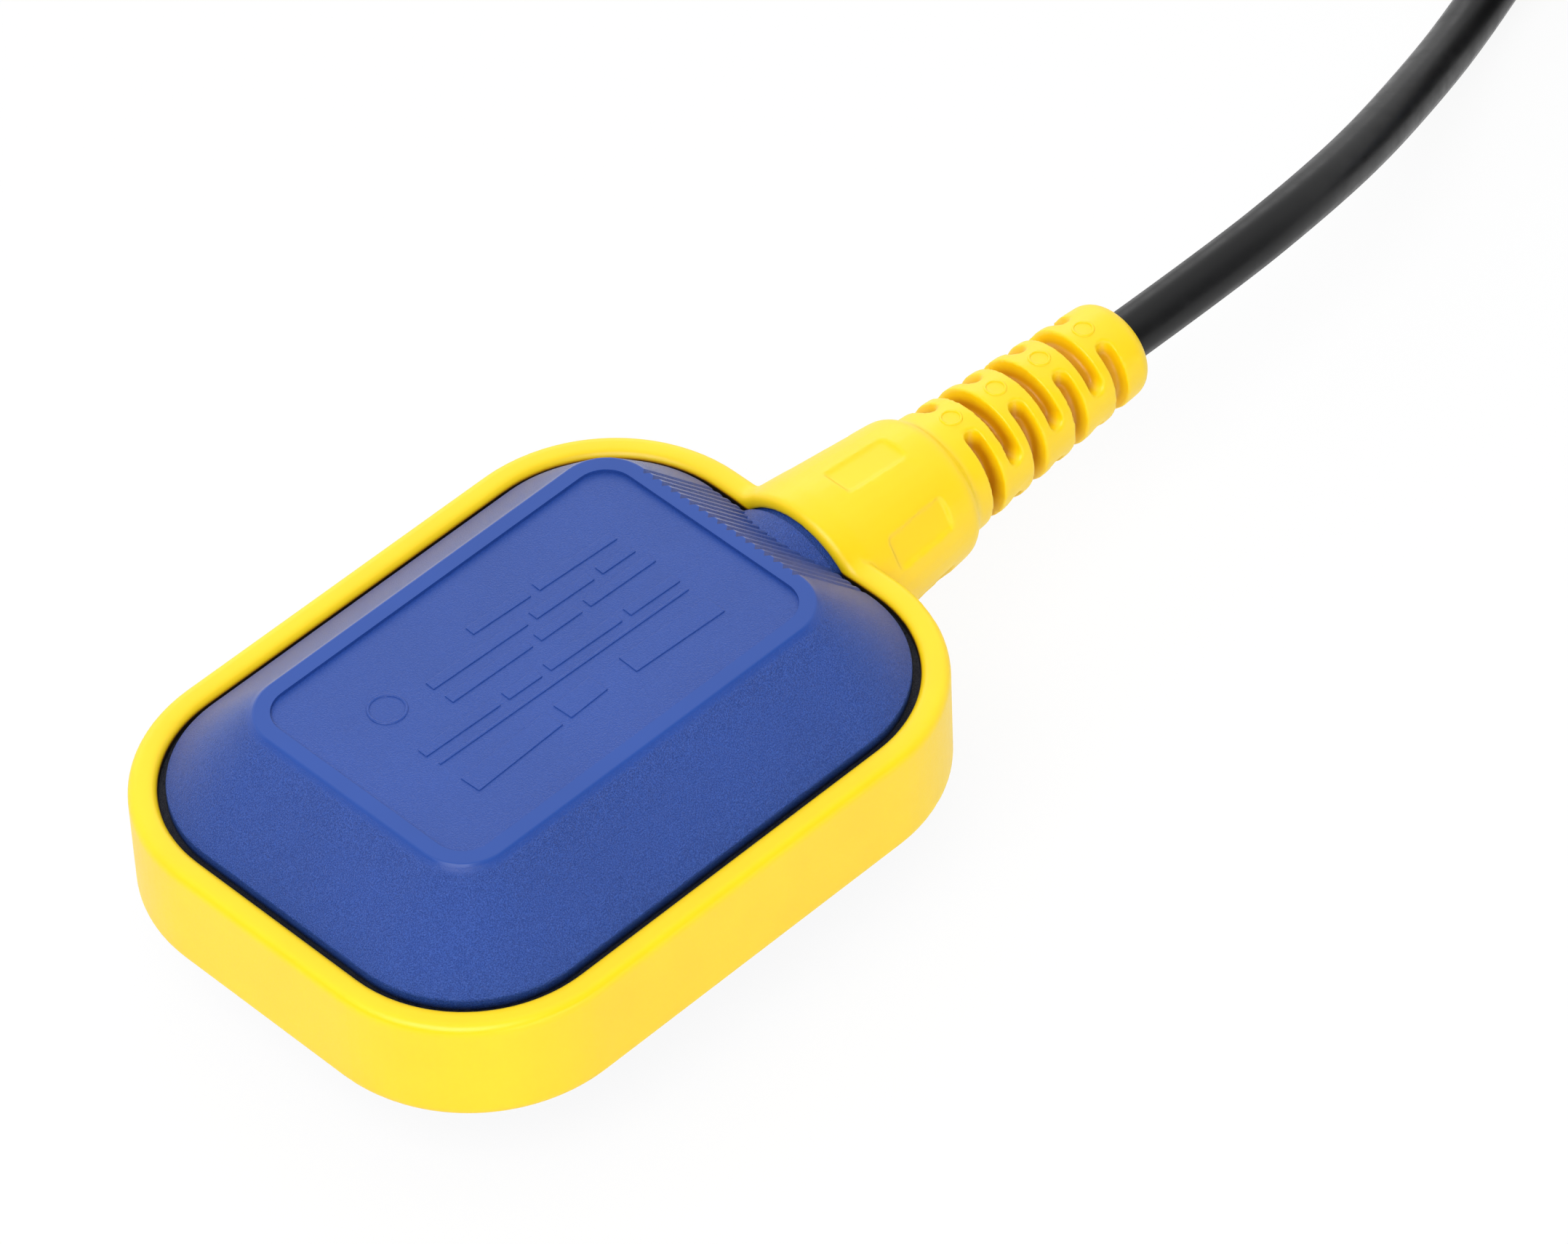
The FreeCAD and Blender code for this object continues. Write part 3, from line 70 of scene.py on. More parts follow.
# Soft lamps: name, place, size and power; all of them aim at one point
LAMP_AIM = (0.0, 0.0, 0.02)
LAMPS = (
    ("overhead", (-0.62, -0.26, 0.95), (0.9, 0.7), 10.9),
    ("behind", (0.75, 1.10, 0.62), (1.2, 0.5), 2.6),
    ("low_front", (-0.15, -1.2, 0.22), (1.2, 0.3), 3.6),
)

# The floor: how far it lies under the object, its size and grey, and the share of plain white in
# it as it is seen
FLOOR_DROP = 0.3 * MM
FLOOR_SIZE = 6
FLOOR_GREY = (0.9, 0.9, 0.9, 1.0)
FLOOR_WHITE = 0.92

# Cable: diameter, length outside the boot, and its route from the boot's tip to the coil
CABLE_DIAMETER = 7.7 * MM
CABLE_EXIT = (82.3 * MM, 0.0, 21.35 * MM)
CABLE_ROUTE = (
    CABLE_EXIT,
    (0.1040, -0.0003, 0.0214),
    (0.1220, 0.0012, 0.0204),
    (0.1400, 0.0060, 0.0156),
    (0.1580, 0.0123, 0.0105),
    (0.1760, 0.0194, 0.0051),
    (0.1985, 0.0269, 0.00435),
)

# Coil: its middle, the heading of the cable that meets it, the height of its lowest turn, and
# the turns in winding order with their distance from the coil's axis and their layer
COIL_CENTRE = (0.2514, -0.010)
COIL_HEADING = 12.3
COIL_LEVEL = 4.35 * MM
COIL_OUTER, COIL_INNER = 47.35 * MM, 39.65 * MM
COIL_TURNS = (
    (COIL_OUTER, 0), (COIL_INNER, 0), (COIL_INNER, 1), (COIL_OUTER, 1),
    (COIL_OUTER, 2), (COIL_INNER, 2), (COIL_INNER, 3), (COIL_OUTER, 3),
)

# Angles on the coil in degrees: the crossing to the next turn, how far before a full turn the
# first one ends, the step between two points, and the whole winding
COIL_CROSSING = 60.0
COIL_LEAD_IN = 8.0
COIL_STEP = 10.0
COIL_END = 2417.0

# Heights on the float: its middle and the shell's sunk panel
MIDDLE = 21.35 * MM
PANEL_LEVEL = 42.15 * MM

# Heights from the float's middle between which the blue finish changes: from the slope to the
# panel, from the panel to the polished border, out of the groove's painted shade, and at its foot
PANEL_EDGE = (20.2 * MM, 20.7 * MM)
BORDER_EDGE = (20.95 * MM, 21.30 * MM)
GROOVE_SHADE = (6.9 * MM, 7.8 * MM)
GROOVE_FOOT = (6.55 * MM, 6.70 * MM)

# Spark-eroded grain: its scale and depth, and those of the finer grain in it
GRAIN_SCALE, FINE_SCALE = 5800.0, 9500.0
GRAIN_DEPTH = 0.22 * MM
FINE_DEPTH = GRAIN_DEPTH * 0.25

# Blues: the grain's pits and peaks (painted shade and glints), the panel and the border
PIT_BLUE = (0.0080, 0.0430, 0.245, 1.0)
PEAK_BLUE = (0.0350, 0.0980, 0.422, 1.0)
PANEL_BLUE = (0.0200, 0.0640, 0.305, 1.0)
BORDER_BLUE = (0.0205, 0.0700, 0.325, 1.0)

# Yellows: two tones of the moulding, and painted shade deep in the slots and down in the groove
YELLOW_DARK = (0.98, 0.655, 0.0, 1.0)
YELLOW_LIGHT = (1.0, 0.69, 0.001, 1.0)
SLOT_ORANGE = (0.62, 0.29, 0.0, 1.0)
RIM_FOOT_SHADE = (0.012, 0.008, 0.002, 1.0)

# Most of a noise lies between these two values
NOISE_SPAN = (0.3, 0.7)

# The moulded skin: its voxels, its rounds of smoothing and its most triangles
SKIN_VOXEL = 0.30 * MM
SKIN_ROUNDS = 4
SKIN_TRIANGLES = 190000

# The rim's inner wall: the float's middle along x, half the wall's length and width, its
# corners, how far outwards it is marked, and the heights from the float's middle between which
# its painted shade goes from none to near black
FLOAT_MIDDLE = -29.9 * MM
RIM_INSIDE = (48.3 * MM, 35.9 * MM)
RIM_CORNER = 20.5 * MM
RIM_MARGIN = 0.8 * MM
GROOVE_TOP, GROOVE_DARK = 8.0 * MM, 7.4 * MM

# The boot behind the neck's shoulder: its start, its radius at a place along it and the loss of
# radius per length
BOOT_START = 45.5 * MM
BOOT_PLACE, BOOT_RADIUS = 49.1 * MM, 9.3 * MM
BOOT_TAPER = 0.0596

# The boot's slots go from unshaded to their full painted shade between two depths
SLOT_UNSHADED, SLOT_DARK = 0.7 * MM, 2.6 * MM
SLOT_SHADE = 0.5

# Ejector rings on the boot: how many, their spacing from the boot's place on, their radius and
# thickness, and how far their middle lies under the surface
RING_COUNT = 4
RING_PITCH = 8.8 * MM
RING_RADIUS, RING_THICKNESS = 1.45 * MM, 0.22 * MM
RING_SINK = 0.06 * MM

# Plain raised bars on the panel in mm, each row from its start to its end, with its width across
# and the lengths of its bars and gaps in turn
PANEL_ROWS = (
    ((-6.3, -10.3), (-22.3, -9.7), 3.6, (16.0,)),
    ((-27.3, -9.3), (-51.9, -10.2), 3.4, (7.0, 1.6, 16.0)),
    ((-6.8, -5.5), (-52.0, -4.5), 0.45, (45.2,)),
    ((-6.5, -2.9), (-52.3, -1.5), 1.7, (9.0, 1.5, 13.0, 1.5, 6.0, 1.5, 13.3)),
    ((-6.0, 2.2), (-43.0, 3.1), 1.7, (12.0, 1.5, 7.5, 1.5, 14.5)),
    ((-6.6, 5.5), (-43.0, 6.7), 1.7, (6.0, 1.5, 10.5, 1.5, 17.0)),
    ((-6.6, 9.0), (-32.4, 10.2), 1.7, (14.0, 1.5, 10.3)),
)

# The bars: their rise over the panel, their foot in it and the rounding of their corners
BAR_RISE, BAR_FOOT = 0.16 * MM, 0.10 * MM
BAR_CORNER = 0.11 * MM

# The plain ring on the panel: place, radius and thickness in mm, and its middle's depth
PANEL_RING = (-49.8, 7.8, 2.6, 0.55)
PANEL_RING_SINK = 0.10 * MM


def linear(red, green, blue):
    """A screen colour, 0 to 255, as the linear values that shaders take."""
    def one(level):
        level /= 255
        return level / 12.92 if level <= 0.04045 else ((level + 0.055) / 1.055) ** 2.4
    return one(red), one(green), one(blue), 1.0


def eased(share):
    """From 0 to 1 with a soft start and end."""
    share = min(max(share, 0.0), 1.0)
    return 0.5 - 0.5 * math.cos(math.pi * share)


# ---------------------------------------------------------------- shader nodes

def feed(tree, socket, value):
    """Links a socket to another one, or gives it a plain value."""
    if isinstance(value, bpy.types.NodeSocket):
        tree.links.new(value, socket)
    else:
        socket.default_value = value


def add_math(tree, operation, *values, clamp=False):
    """A sum, product or the like; gives its output."""
    node = tree.nodes.new("ShaderNodeMath")
    node.operation = operation
    node.use_clamp = clamp
    for socket, value in zip(node.inputs, values):
        feed(tree, socket, value)
    return node.outputs["Value"]


def add_range(tree, source, low, high, start, end, smooth=False):
    """From one value to another while a source goes from low to high; gives its output."""
    span = tree.nodes.new("ShaderNodeMapRange")
    if smooth:
        span.interpolation_type = "SMOOTHSTEP"
    span.inputs["From Min"].default_value = low
    span.inputs["From Max"].default_value = high
    span.inputs["To Min"].default_value = start
    span.inputs["To Max"].default_value = end
    tree.links.new(source, span.inputs["Value"])
    return span.outputs["Result"]


def add_ramp(tree, source, span, dark, light):
    """From one colour to another while a source goes through a span; gives its output."""
    ramp = tree.nodes.new("ShaderNodeValToRGB")
    for end, place, colour in zip(ramp.color_ramp.elements, span, (dark, light)):
        end.position = place
        end.color = colour
    tree.links.new(source, ramp.inputs["Fac"])
    return ramp.outputs["Color"]


def add_mix(tree, share, first, second):
    """Between two colours by a share; gives its output."""
    mix = tree.nodes.new("ShaderNodeMix")
    mix.data_type = "RGBA"
    feed(tree, mix.inputs["Factor"], share)
    feed(tree, mix.inputs[6], first)
    feed(tree, mix.inputs[7], second)
    return mix.outputs[2]


def mix_shaders(tree, share, first, second, output):
    """Between two shaders by a share, to the tree's output."""
    mix = tree.nodes.new("ShaderNodeMixShader")
    out = tree.nodes.new(output)
    tree.links.new(share, mix.inputs["Fac"])
    tree.links.new(first.outputs[0], mix.inputs[1])
    tree.links.new(second.outputs[0], mix.inputs[2])
    tree.links.new(mix.outputs[0], out.inputs["Surface"])


def add_noise(tree, scale, detail=2.0, rough=0.5):
    """A noise on the object's own coordinates; gives its output."""
    place = tree.nodes.new("ShaderNodeTexCoord")
    noise = tree.nodes.new("ShaderNodeTexNoise")
    noise.inputs["Scale"].default_value = scale
    noise.inputs["Detail"].default_value = detail
    noise.inputs["Roughness"].default_value = rough
    tree.links.new(place.outputs["Object"], noise.inputs["Vector"])
    return noise.outputs["Fac"]


def add_bump(tree, source, strength, depth, before=None):
    """A bump from a source, after another bump if one is given; gives its output."""
    bump = tree.nodes.new("ShaderNodeBump")
    feed(tree, bump.inputs["Strength"], strength)
    bump.inputs["Distance"].default_value = depth
    tree.links.new(source, bump.inputs["Height"])
    if before is not None:
        tree.links.new(before, bump.inputs["Normal"])
    tree.links.new(bump.outputs["Normal"], tree.nodes["Principled BSDF"].inputs["Normal"])
    return bump.outputs["Normal"]


def vary_roughness(tree, source, low, high):
    """The roughness between two values by a noise."""
    rough = add_range(tree, source, *NOISE_SPAN, low, high)
    tree.links.new(rough, tree.nodes["Principled BSDF"].inputs["Roughness"])


def height_mask(tree, band, start, end):
    """From one value to another between two heights over or under the float's middle."""
    place = tree.nodes.new("ShaderNodeTexCoord")
    parts = tree.nodes.new("ShaderNodeSeparateXYZ")
    tree.links.new(place.outputs["Object"], parts.inputs["Vector"])
    height = add_math(tree, "SUBTRACT", parts.outputs["Z"], MIDDLE)
    return add_range(tree, add_math(tree, "ABSOLUTE", height), *band, start, end)


# ---------------------------------------------------------------- camera and light

def add_camera():
    """The photograph's viewpoint."""
    data = bpy.data.cameras.new("camera")
    data.sensor_width = CAMERA_SENSOR
    data.lens = CAMERA_LENS
    data.clip_start, data.clip_end = 0.05, 20
    camera = bpy.data.objects.new("camera", data)
    bpy.context.scene.collection.objects.link(camera)
    turn = (Matrix.Rotation(math.radians(CAMERA_AZIMUTH), 4, "Z")
            @ Matrix.Rotation(math.radians(90 - CAMERA_ELEVATION), 4, "X")
            @ Matrix.Rotation(math.radians(CAMERA_ROLL), 4, "Z"))
    away = turn @ Vector((0, 0, 1, 0))
    place = Vector(CAMERA_AIM) + away.to_3d() * CAMERA_DISTANCE
    camera.matrix_world = Matrix.Translation(place) @ turn
    bpy.context.scene.camera = camera


def add_softbox(name, place, size, power):
    """A rectangular soft lamp that aims at the object."""
    data = bpy.data.lights.new(name, "AREA")
    data.shape = "RECTANGLE"
    data.size, data.size_y = size
    data.energy = power
    lamp = bpy.data.objects.new(name, data)
    bpy.context.scene.collection.objects.link(lamp)
    lamp.location = place
    aim = Vector(LAMP_AIM) - Vector(place)
    lamp.rotation_euler = aim.to_track_quat("-Z", "Y").to_euler()


def add_world():
    """A room that is bright behind the object and dim in front of it, white to the camera."""
    world = bpy.data.worlds.new("studio")
    bpy.context.scene.world = world
    world.use_nodes = True
    tree = world.node_tree
    tree.nodes.clear()
    room = tree.nodes.new("ShaderNodeBackground")
    room.inputs["Color"].default_value = ROOM_TINT
    white = tree.nodes.new("ShaderNodeBackground")
    white.inputs["Color"].default_value = WHITE
    white.inputs["Strength"].default_value = 1.0
    # how far a direction points to the bright side, from 0 to 1
    place = tree.nodes.new("ShaderNodeTexCoord")
    lean = tree.nodes.new("ShaderNodeVectorMath")
    lean.operation = "DOT_PRODUCT"
    lean.inputs[1].default_value = ROOM_BRIGHT_SIDE
    tree.links.new(place.outputs["Generated"], lean.inputs[0])
    side = add_range(tree, lean.outputs["Value"], *ROOM_TURN, 0.0, 1.0, smooth=True)
    power = add_range(tree, side, 0.0, 1.0, ROOM_DIM, ROOM_BRIGHT)
    tree.links.new(power, room.inputs["Strength"])
    # shiny surfaces show the white only on the bright side
    ray = tree.nodes.new("ShaderNodeLightPath").outputs
    shine = add_math(tree, "MULTIPLY", ray["Is Glossy Ray"], side)
    seen = add_math(tree, "MAXIMUM", ray["Is Camera Ray"], shine)
    through = add_math(tree, "MAXIMUM", seen, ray["Is Transmission Ray"])
    mix_shaders(tree, through, room, white, "ShaderNodeOutputWorld")


def add_floor():
    """Pale floor that keeps the object's shadow."""
    bpy.ops.mesh.primitive_plane_add(size=FLOOR_SIZE, location=(0, 0, -FLOOR_DROP))
    floor = bpy.context.object
    floor.name = "floor"
    material = bpy.data.materials.new("floor_pale")
    material.use_nodes = True
    tree = material.node_tree
    tree.nodes.clear()
    matt = tree.nodes.new("ShaderNodeBsdfDiffuse")
    matt.inputs["Color"].default_value = FLOOR_GREY
    glow = tree.nodes.new("ShaderNodeEmission")
    glow.inputs["Color"].default_value = WHITE
    glow.inputs["Strength"].default_value = 1.0
    ray = tree.nodes.new("ShaderNodeLightPath").outputs
    seen = add_math(tree, "MAXIMUM", ray["Is Camera Ray"], ray["Is Glossy Ray"])
    through = add_math(tree, "MAXIMUM", seen, ray["Is Transmission Ray"])
    share = add_math(tree, "MULTIPLY", through, FLOOR_WHITE)
    mix_shaders(tree, share, matt, glow, "ShaderNodeOutputMaterial")
    floor.data.materials.append(material)


def light_scene():
    """World, lamps and floor."""
    add_world()
    for lamp in LAMPS:
        add_softbox(*lamp)
    add_floor()


# ---------------------------------------------------------------- materials

def new_material(name, colour, roughness, **sockets):
    """A Principled material with its plain numbers on its own sockets."""
    material = bpy.data.materials.new(name)
    material.use_nodes = True
    shader = material.node_tree.nodes["Principled BSDF"]
    shader.inputs["Base Color"].default_value = colour
    shader.inputs["Roughness"].default_value = roughness
    for socket, amount in sockets.items():
        shader.inputs[socket.replace("_", " ")].default_value = amount
    return material


def yellow_elastomer():
    """Soft yellow moulding: satin, a little light under the surface, faint flow and fine skin."""
    material = new_material("yellow_elastomer", (1.0, 0.675, 0.0, 1.0), 0.40,
                            Subsurface_Weight=0.06, Subsurface_Scale=0.0015,
                            Subsurface_Radius=(1.0, 0.6, 0.1))
    tree = material.node_tree
    unshaded = add_ramp(tree, add_noise(tree, 90.0, 3.0), NOISE_SPAN, YELLOW_DARK, YELLOW_LIGHT)
    # painted shade: its first half is the orange shade deep in the boot's slots; all of it is the
    # near-black shade at the foot of the rim's inner wall
    shade_attribute = tree.nodes.new("ShaderNodeAttribute")
    shade_attribute.attribute_name = "painted_shade_amount"
    shade = add_ramp(tree, shade_attribute.outputs["Fac"], (0.5, 0.9), SLOT_ORANGE, RIM_FOOT_SHADE)
    share = add_math(tree, "MULTIPLY", shade_attribute.outputs["Fac"], 2.0, clamp=True)
    shaded_colour = add_mix(tree, share, unshaded, shade)
    tree.links.new(shaded_colour, tree.nodes["Principled BSDF"].inputs["Base Color"])
    skin = add_noise(tree, 2600.0)
    vary_roughness(tree, skin, 0.36, 0.45)
    add_bump(tree, skin, 0.08, 0.06 * MM)
    return material


def blue_plastic():
    """Blue plastic: a coarse spark-eroded grain, a finer one on the panel, a polished border."""
    material = new_material("blue_plastic", (0.0266, 0.0652, 0.29, 1.0), 0.42,
                            Specular_IOR_Level=0.35)
    tree = material.node_tree
    shader = tree.nodes["Principled BSDF"]
    cloud = add_noise(tree, 60.0, 3.0)
    grain = add_noise(tree, GRAIN_SCALE, 1.5)
    fine = add_noise(tree, FINE_SCALE, 1.0)
    polish = height_mask(tree, BORDER_EDGE, 0.0, 1.0)
    # painted shade in the grain's pits and painted glints on its peaks, only faint on the panel
    grained = add_ramp(tree, grain, (0.38, 0.68), PIT_BLUE, PEAK_BLUE)
    calm = add_mix(tree, height_mask(tree, PANEL_EDGE, 0.0, 0.75), grained, PANEL_BLUE)
    colour = add_mix(tree, polish, calm, BORDER_BLUE)
    # painted shade: the blue darkens down the groove along the rim, near black just above its foot
    groove = add_math(tree, "MAXIMUM", height_mask(tree, GROOVE_SHADE, 0.03, 1.0),
                      height_mask(tree, GROOVE_FOOT, 1.0, 0.0))
    drift = add_range(tree, cloud, *NOISE_SPAN, 0.96, 1.04)
    shade = tree.nodes.new("ShaderNodeVectorMath")
    shade.operation = "SCALE"
    tree.links.new(colour, shade.inputs[0])
    tree.links.new(add_math(tree, "MULTIPLY", drift, groove), shade.inputs["Scale"])
    tree.links.new(shade.outputs["Vector"], shader.inputs["Base Color"])
    tree.links.new(add_range(tree, polish, 0.0, 1.0, 0.31, 0.30), shader.inputs["Roughness"])
    # full pits on the slopes, a third of them on the panel and none on the border
    slope = height_mask(tree, PANEL_EDGE, 1.0, 0.35)
    pits = add_math(tree, "SUBTRACT", slope, polish, clamp=True)
    coarse = add_bump(tree, grain, pits, GRAIN_DEPTH)
    add_bump(tree, fine, pits, FINE_DEPTH, coarse)
    return material


def black_rubber():
    """Matt black cable sheath with faint clouds in its gloss and a fine skin."""
    material = new_material("black_rubber", linear(17, 17, 18), 0.33, Specular_IOR_Level=0.29)
    tree = material.node_tree
    vary_roughness(tree, add_noise(tree, 400.0, 4.0), 0.28, 0.40)
    add_bump(tree, add_noise(tree, 3000.0), 0.05, 0.03 * MM)
    return material


def smooth_plastic(name, colour, roughness=0.3):
    """Plain moulded plastic with a fine skin."""
    material = new_material(name, colour, roughness)
    tree = material.node_tree
    skin = add_noise(tree, 1800.0)
    vary_roughness(tree, skin, roughness - 0.04, roughness + 0.06)
    add_bump(tree, skin, 0.06, 0.05 * MM)
    return material


def bare_metal(name, colour, roughness):
    """Bare metal with fine wear in its gloss."""
    material = new_material(name, colour, roughness, Metallic=1.0)
    tree = material.node_tree
    wear = add_noise(tree, 1500.0, 4.0)
    vary_roughness(tree, wear, roughness * 0.8, roughness * 1.3)
    add_bump(tree, wear, 0.05, 0.03 * MM)
    return material


def all_finishes():
    """Every finish by the name of its material slot."""
    return {
        "band_elastomer": yellow_elastomer(),
        "shell_plastic": blue_plastic(),
        "cable_sheath": black_rubber(),
        "tie_plastic": smooth_plastic("black_strap", linear(28, 28, 28), 0.35),
        "insulation_brown": smooth_plastic("brown_insulation", linear(92, 52, 28)),
        "insulation_blue": smooth_plastic("blue_insulation", linear(40, 100, 190)),
        "insulation_black": smooth_plastic("black_insulation", linear(30, 30, 30)),
        "copper": bare_metal("copper_strands", (0.85, 0.45, 0.27, 1), 0.25),
        "case_plastic": smooth_plastic("white_capsule", linear(225, 225, 220), 0.4),
        "ball_steel": bare_metal("polished_steel", (0.75, 0.75, 0.77, 1), 0.12),
        "lever_steel": bare_metal("stamped_steel", (0.6, 0.6, 0.62, 1), 0.35),
        "switch_plastic": smooth_plastic("black_switch", linear(35, 35, 36), 0.35),
        "plunger_plastic": smooth_plastic("red_plunger", linear(180, 40, 30), 0.3),
        "contact_brass": bare_metal("contact_brass", (0.83, 0.7, 0.42, 1), 0.25),
        "seal_rubber": black_rubber(),
        "resin": smooth_plastic("cast_resin", linear(60, 60, 62), 0.2),
    }


# ---------------------------------------------------------------- pieces in general

def deselect():
    """Nothing selected, nothing in edit mode."""
    if bpy.context.object and bpy.context.object.mode != "OBJECT":
        bpy.ops.object.mode_set(mode="OBJECT")
    bpy.ops.object.select_all(action="DESELECT")


def make_active(piece):
    """Only this piece is selected and active."""
    deselect()
    piece.hide_set(False)
    piece.select_set(True)
    bpy.context.view_layer.objects.active = piece


def apply_modifier(piece, kind, **settings):
    """One modifier with its settings, put on the active piece and applied."""
    modifier = piece.modifiers.new("step", kind)
    for setting, value in settings.items():
        setattr(modifier, setting, value)
    bpy.ops.object.modifier_apply(modifier="step")


def join(pieces, name):
    """Several pieces as one piece with this name."""
    deselect()
    for piece in pieces:
        piece.select_set(True)
    bpy.context.view_layer.objects.active = pieces[0]
    bpy.ops.object.join()
    joined = bpy.context.object
    joined.name = name
    return joined


def dress(piece, finish):
    """One finish on the whole piece."""
    piece.data.materials.clear()
    piece.data.materials.append(finish)


# ---------------------------------------------------------------- cable

def coil_place(winding):
    """Distance from the axis and layer after winding so many degrees."""
    outwards, layer = COIL_TURNS[0]
    for number in range(len(COIL_TURNS) - 1):
        last = 360 * (number + 1) - number * COIL_CROSSING - COIL_LEAD_IN
        share = eased((winding - last + COIL_CROSSING) / COIL_CROSSING)
        outwards += (COIL_TURNS[number + 1][0] - COIL_TURNS[number][0]) * share
        layer += (COIL_TURNS[number + 1][1] - COIL_TURNS[number][1]) * share
    return outwards, layer


def coil_points():
    """The coil's points, clockwise from where the cable meets it."""
    count = round(COIL_END / COIL_STEP)
    step = COIL_END / count
    # a smooth line stays inside its points, so they lie a little further out than the turns
    stretch = 1 / (0.75 + 0.25 * math.cos(math.radians(step)))
    points = []
    for number in range(count + 1):
        outwards, layer = coil_place(number * step)
        angle = math.radians(COIL_HEADING + 90 - number * step)
        points.append((COIL_CENTRE[0] + outwards * stretch * math.cos(angle),
                       COIL_CENTRE[1] + outwards * stretch * math.sin(angle),
                       COIL_LEVEL + layer * CABLE_DIAMETER))
    return points


def smooth_curve(name, points, radius):
    """A round smooth line through a route's points as its control points."""
    data = bpy.data.curves.new(name, "CURVE")
    data.dimensions = "3D"
    data.resolution_u = 8
    data.bevel_depth = radius
    data.bevel_resolution = 6
    data.use_fill_caps = True
    spline = data.splines.new("NURBS")
    spline.points.add(len(points) - 1)
    for point, place in zip(spline.points, points):
        point.co = (*place, 1.0)
    spline.order_u = 3
    spline.use_endpoint_u = True
    made = bpy.data.objects.new(name, data)
    bpy.context.scene.collection.objects.link(made)
    return made


def add_cable(sheath):
    """The free cable, from the boot down to the floor and round the coil."""
    cable = smooth_curve("free_cable", list(CABLE_ROUTE) + coil_points(), CABLE_DIAMETER / 2)
    cable.data.materials.append(sheath)
    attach(cable, "float")
    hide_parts("cable", "cable_coil")


# ---------------------------------------------------------------- mouldings

def boot_surface(along):
    """The boot's radius at a place along it."""
    return BOOT_RADIUS - (along - BOOT_PLACE) * BOOT_TAPER


def painted_shade_at(place):
    """How much painted shade the yellow moulding has at a point, from 0 none to 1 dark."""
    high = abs(place.z - MIDDLE)
    if place.x > BOOT_START:
        sunk = boot_surface(place.x) - math.hypot(place.y, high)
        return SLOT_SHADE * eased((sunk - SLOT_UNSHADED) / (SLOT_DARK - SLOT_UNSHADED))
    over_x = abs(place.x - FLOAT_MIDDLE) - (RIM_INSIDE[0] - RIM_CORNER)
    over_y = abs(place.y) - (RIM_INSIDE[1] - RIM_CORNER)
    outwards = math.hypot(max(over_x, 0), max(over_y, 0)) + min(max(over_x, over_y), 0)
    if outwards < RIM_CORNER + RIM_MARGIN:
        return eased((GROOVE_TOP - high) / (GROOVE_TOP - GROOVE_DARK))
    return 0.0


def yellow_moulding(frame, finish):
    """The band, neck and boot as a soft moulding, its sharp edges rounded as an elastomer's are."""
    piece = bpy.data.objects.new("yellow_moulding", frame["nodes"]["outer_band"].data.copy())
    bpy.context.scene.collection.objects.link(piece)
    make_active(piece)
    bpy.ops.object.mode_set(mode="EDIT")
    bpy.ops.mesh.select_all(action="SELECT")
    bpy.ops.mesh.remove_doubles(threshold=1e-6)
    bpy.ops.object.mode_set(mode="OBJECT")
    apply_modifier(piece, "REMESH", mode="VOXEL", voxel_size=SKIN_VOXEL)
    apply_modifier(piece, "SMOOTH", factor=0.5, iterations=SKIN_ROUNDS)
    triangles = sum(len(face.vertices) - 2 for face in piece.data.polygons)
    if triangles > SKIN_TRIANGLES:
        apply_modifier(piece, "DECIMATE", ratio=SKIN_TRIANGLES / triangles)
    bpy.ops.object.shade_smooth()
    # painted shade on each point: orange deep in the boot's slots, near black at the rim's foot
    shade_attribute = piece.data.attributes.new("painted_shade_amount", "FLOAT", "POINT")
    for vertex in piece.data.vertices:
        shade_attribute.data[vertex.index].value = painted_shade_at(vertex.co)
    dress(piece, finish)
    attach(piece, "float")
    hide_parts("outer_band")


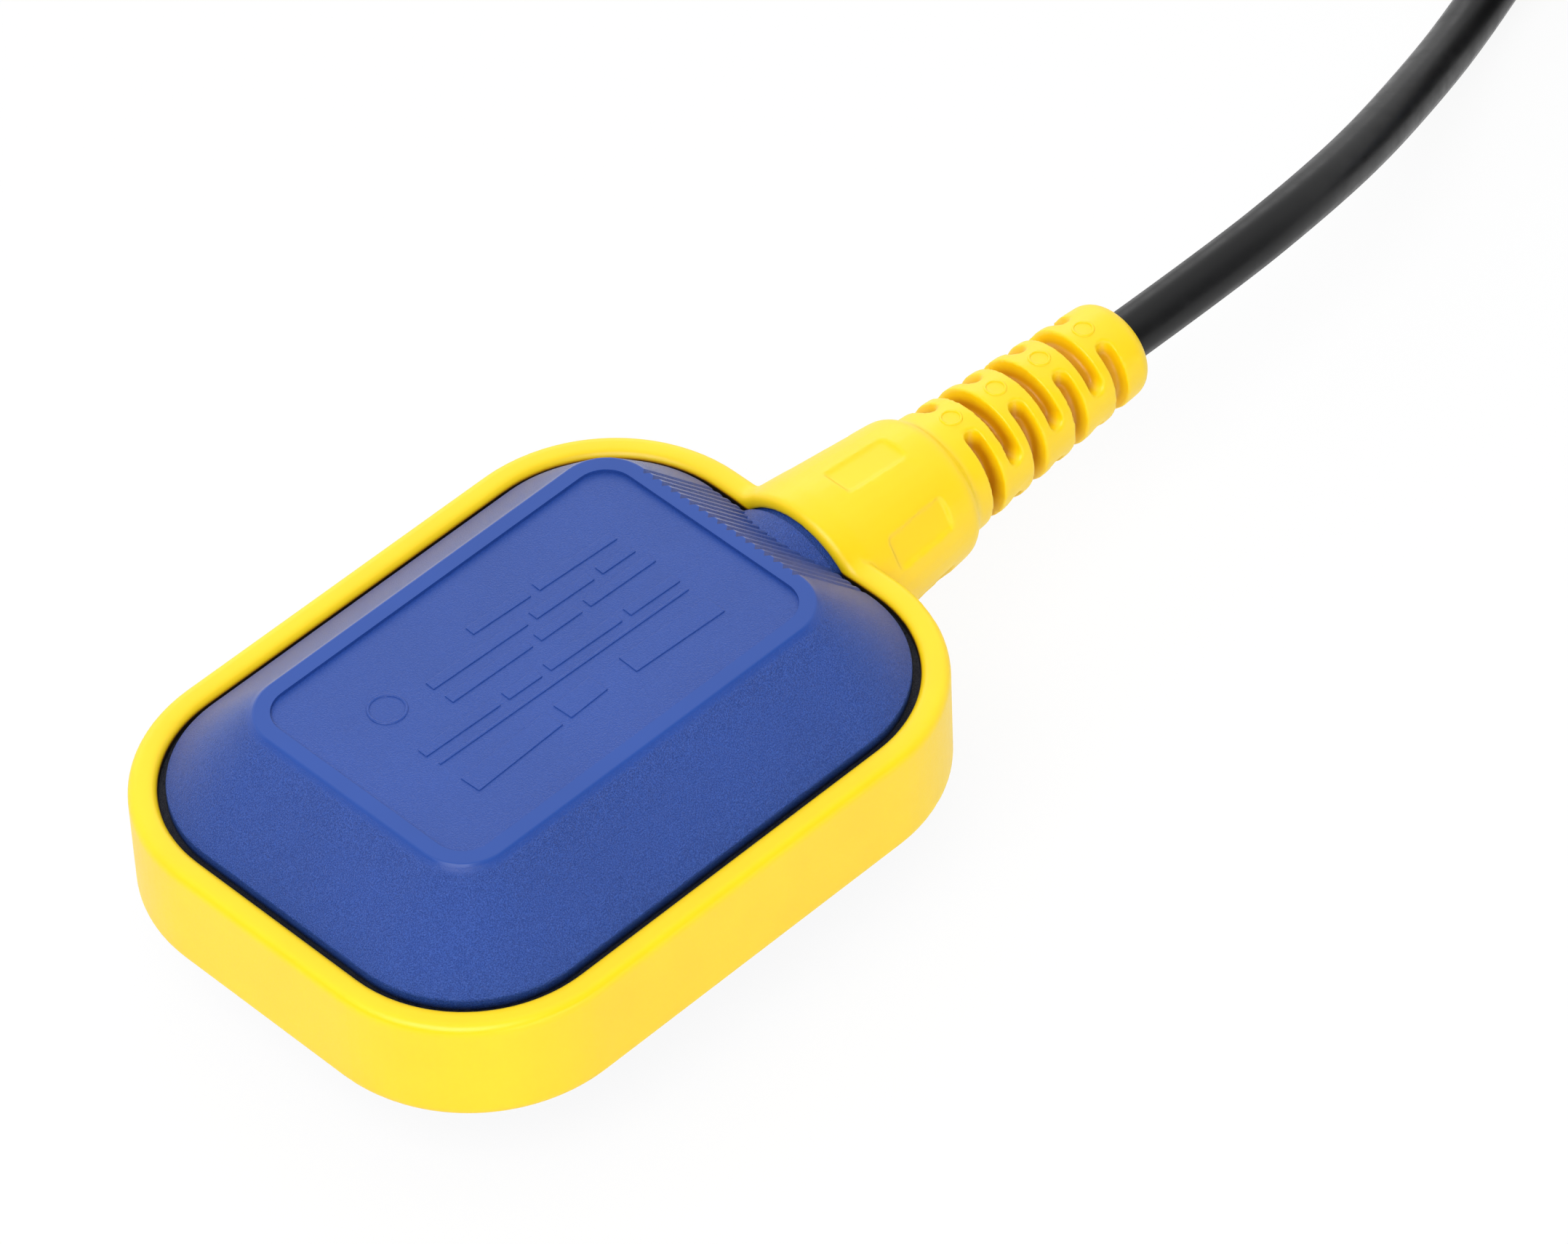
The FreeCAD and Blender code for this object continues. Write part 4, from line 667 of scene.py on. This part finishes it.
def boot_rings(finish):
    """Round ejector marks on the boot, a raised ring in front of each side slot, on both sides."""
    pieces = []
    for number in range(RING_COUNT):
        along = BOOT_PLACE + number * RING_PITCH
        surface = boot_surface(along)
        for side in (1, -1):
            deselect()
            bpy.ops.mesh.primitive_torus_add(
                location=(along, 0, MIDDLE + side * (surface - RING_SINK)),
                rotation=(0, side * math.atan(BOOT_TAPER), 0),
                major_segments=48, minor_segments=12,
                major_radius=RING_RADIUS, minor_radius=RING_THICKNESS)
            ring = bpy.context.object
            bpy.ops.object.transform_apply(location=True, rotation=True, scale=True)
            # the ring lies on the round boot, so its sides hang lower than its middle
            for vertex in ring.data.vertices:
                vertex.co.z -= side * (surface - math.sqrt(surface ** 2 - vertex.co.y ** 2))
            pieces.append(ring)
    rings = join(pieces, "boot_rings")
    bpy.ops.object.shade_smooth()
    dress(rings, finish)
    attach(rings, "float")


def panel_bar(place, turn, length, across):
    """One low plain bar on the panel, sizes in mm."""
    deselect()
    bpy.ops.mesh.primitive_cube_add(
        size=1, location=(place.x * MM, place.y * MM, PANEL_LEVEL + (BAR_RISE - BAR_FOOT) / 2),
        rotation=(0, 0, turn), scale=(length * MM, across * MM, BAR_RISE + BAR_FOOT))
    bar = bpy.context.object
    bpy.ops.object.transform_apply(location=True, rotation=True, scale=True)
    apply_modifier(bar, "BEVEL", width=BAR_CORNER, segments=3)
    return bar


def panel_relief(finish):
    """Low plain bars, a rule and a ring, raised in the panel by the mould."""
    pieces = []
    for start, end, across, lengths in PANEL_ROWS:
        first, last = Vector(start), Vector(end)
        along = (last - first).normalized()
        turn = math.atan2(along.y, along.x)
        done = 0.0
        for number, length in enumerate(lengths):
            if number % 2 == 0:
                middle = first + along * (done + length / 2)
                pieces.append(panel_bar(middle, turn, length, across))
            done += length
    x, y, radius, thickness = PANEL_RING
    deselect()
    bpy.ops.mesh.primitive_torus_add(
        location=(x * MM, y * MM, PANEL_LEVEL - PANEL_RING_SINK),
        major_segments=64, minor_segments=16,
        major_radius=radius * MM, minor_radius=thickness / 2 * MM)
    pieces.append(bpy.context.object)
    bpy.ops.object.transform_apply(location=True, rotation=True, scale=True)
    relief = join(pieces, "panel_relief")
    bpy.ops.object.shade_smooth_by_angle(angle=math.radians(40))
    apply_modifier(relief, "WEIGHTED_NORMAL", keep_sharp=True, weight=90)
    dress(relief, finish)
    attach(relief, "float")


def main():
    """Everything in the scene."""
    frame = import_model()
    bpy.context.scene.view_settings.view_transform = "Standard"
    add_camera()
    light_scene()
    finishes = all_finishes()
    slots = {part["node"]: part["material_slot"] for part in frame["record"]["subparts"]}
    for name, node in frame["nodes"].items():
        dress(node, finishes[slots[name]])
    add_cable(finishes["cable_sheath"])
    yellow_moulding(frame, finishes["band_elastomer"])
    boot_rings(finishes["band_elastomer"])
    panel_relief(finishes["shell_plastic"])


main()
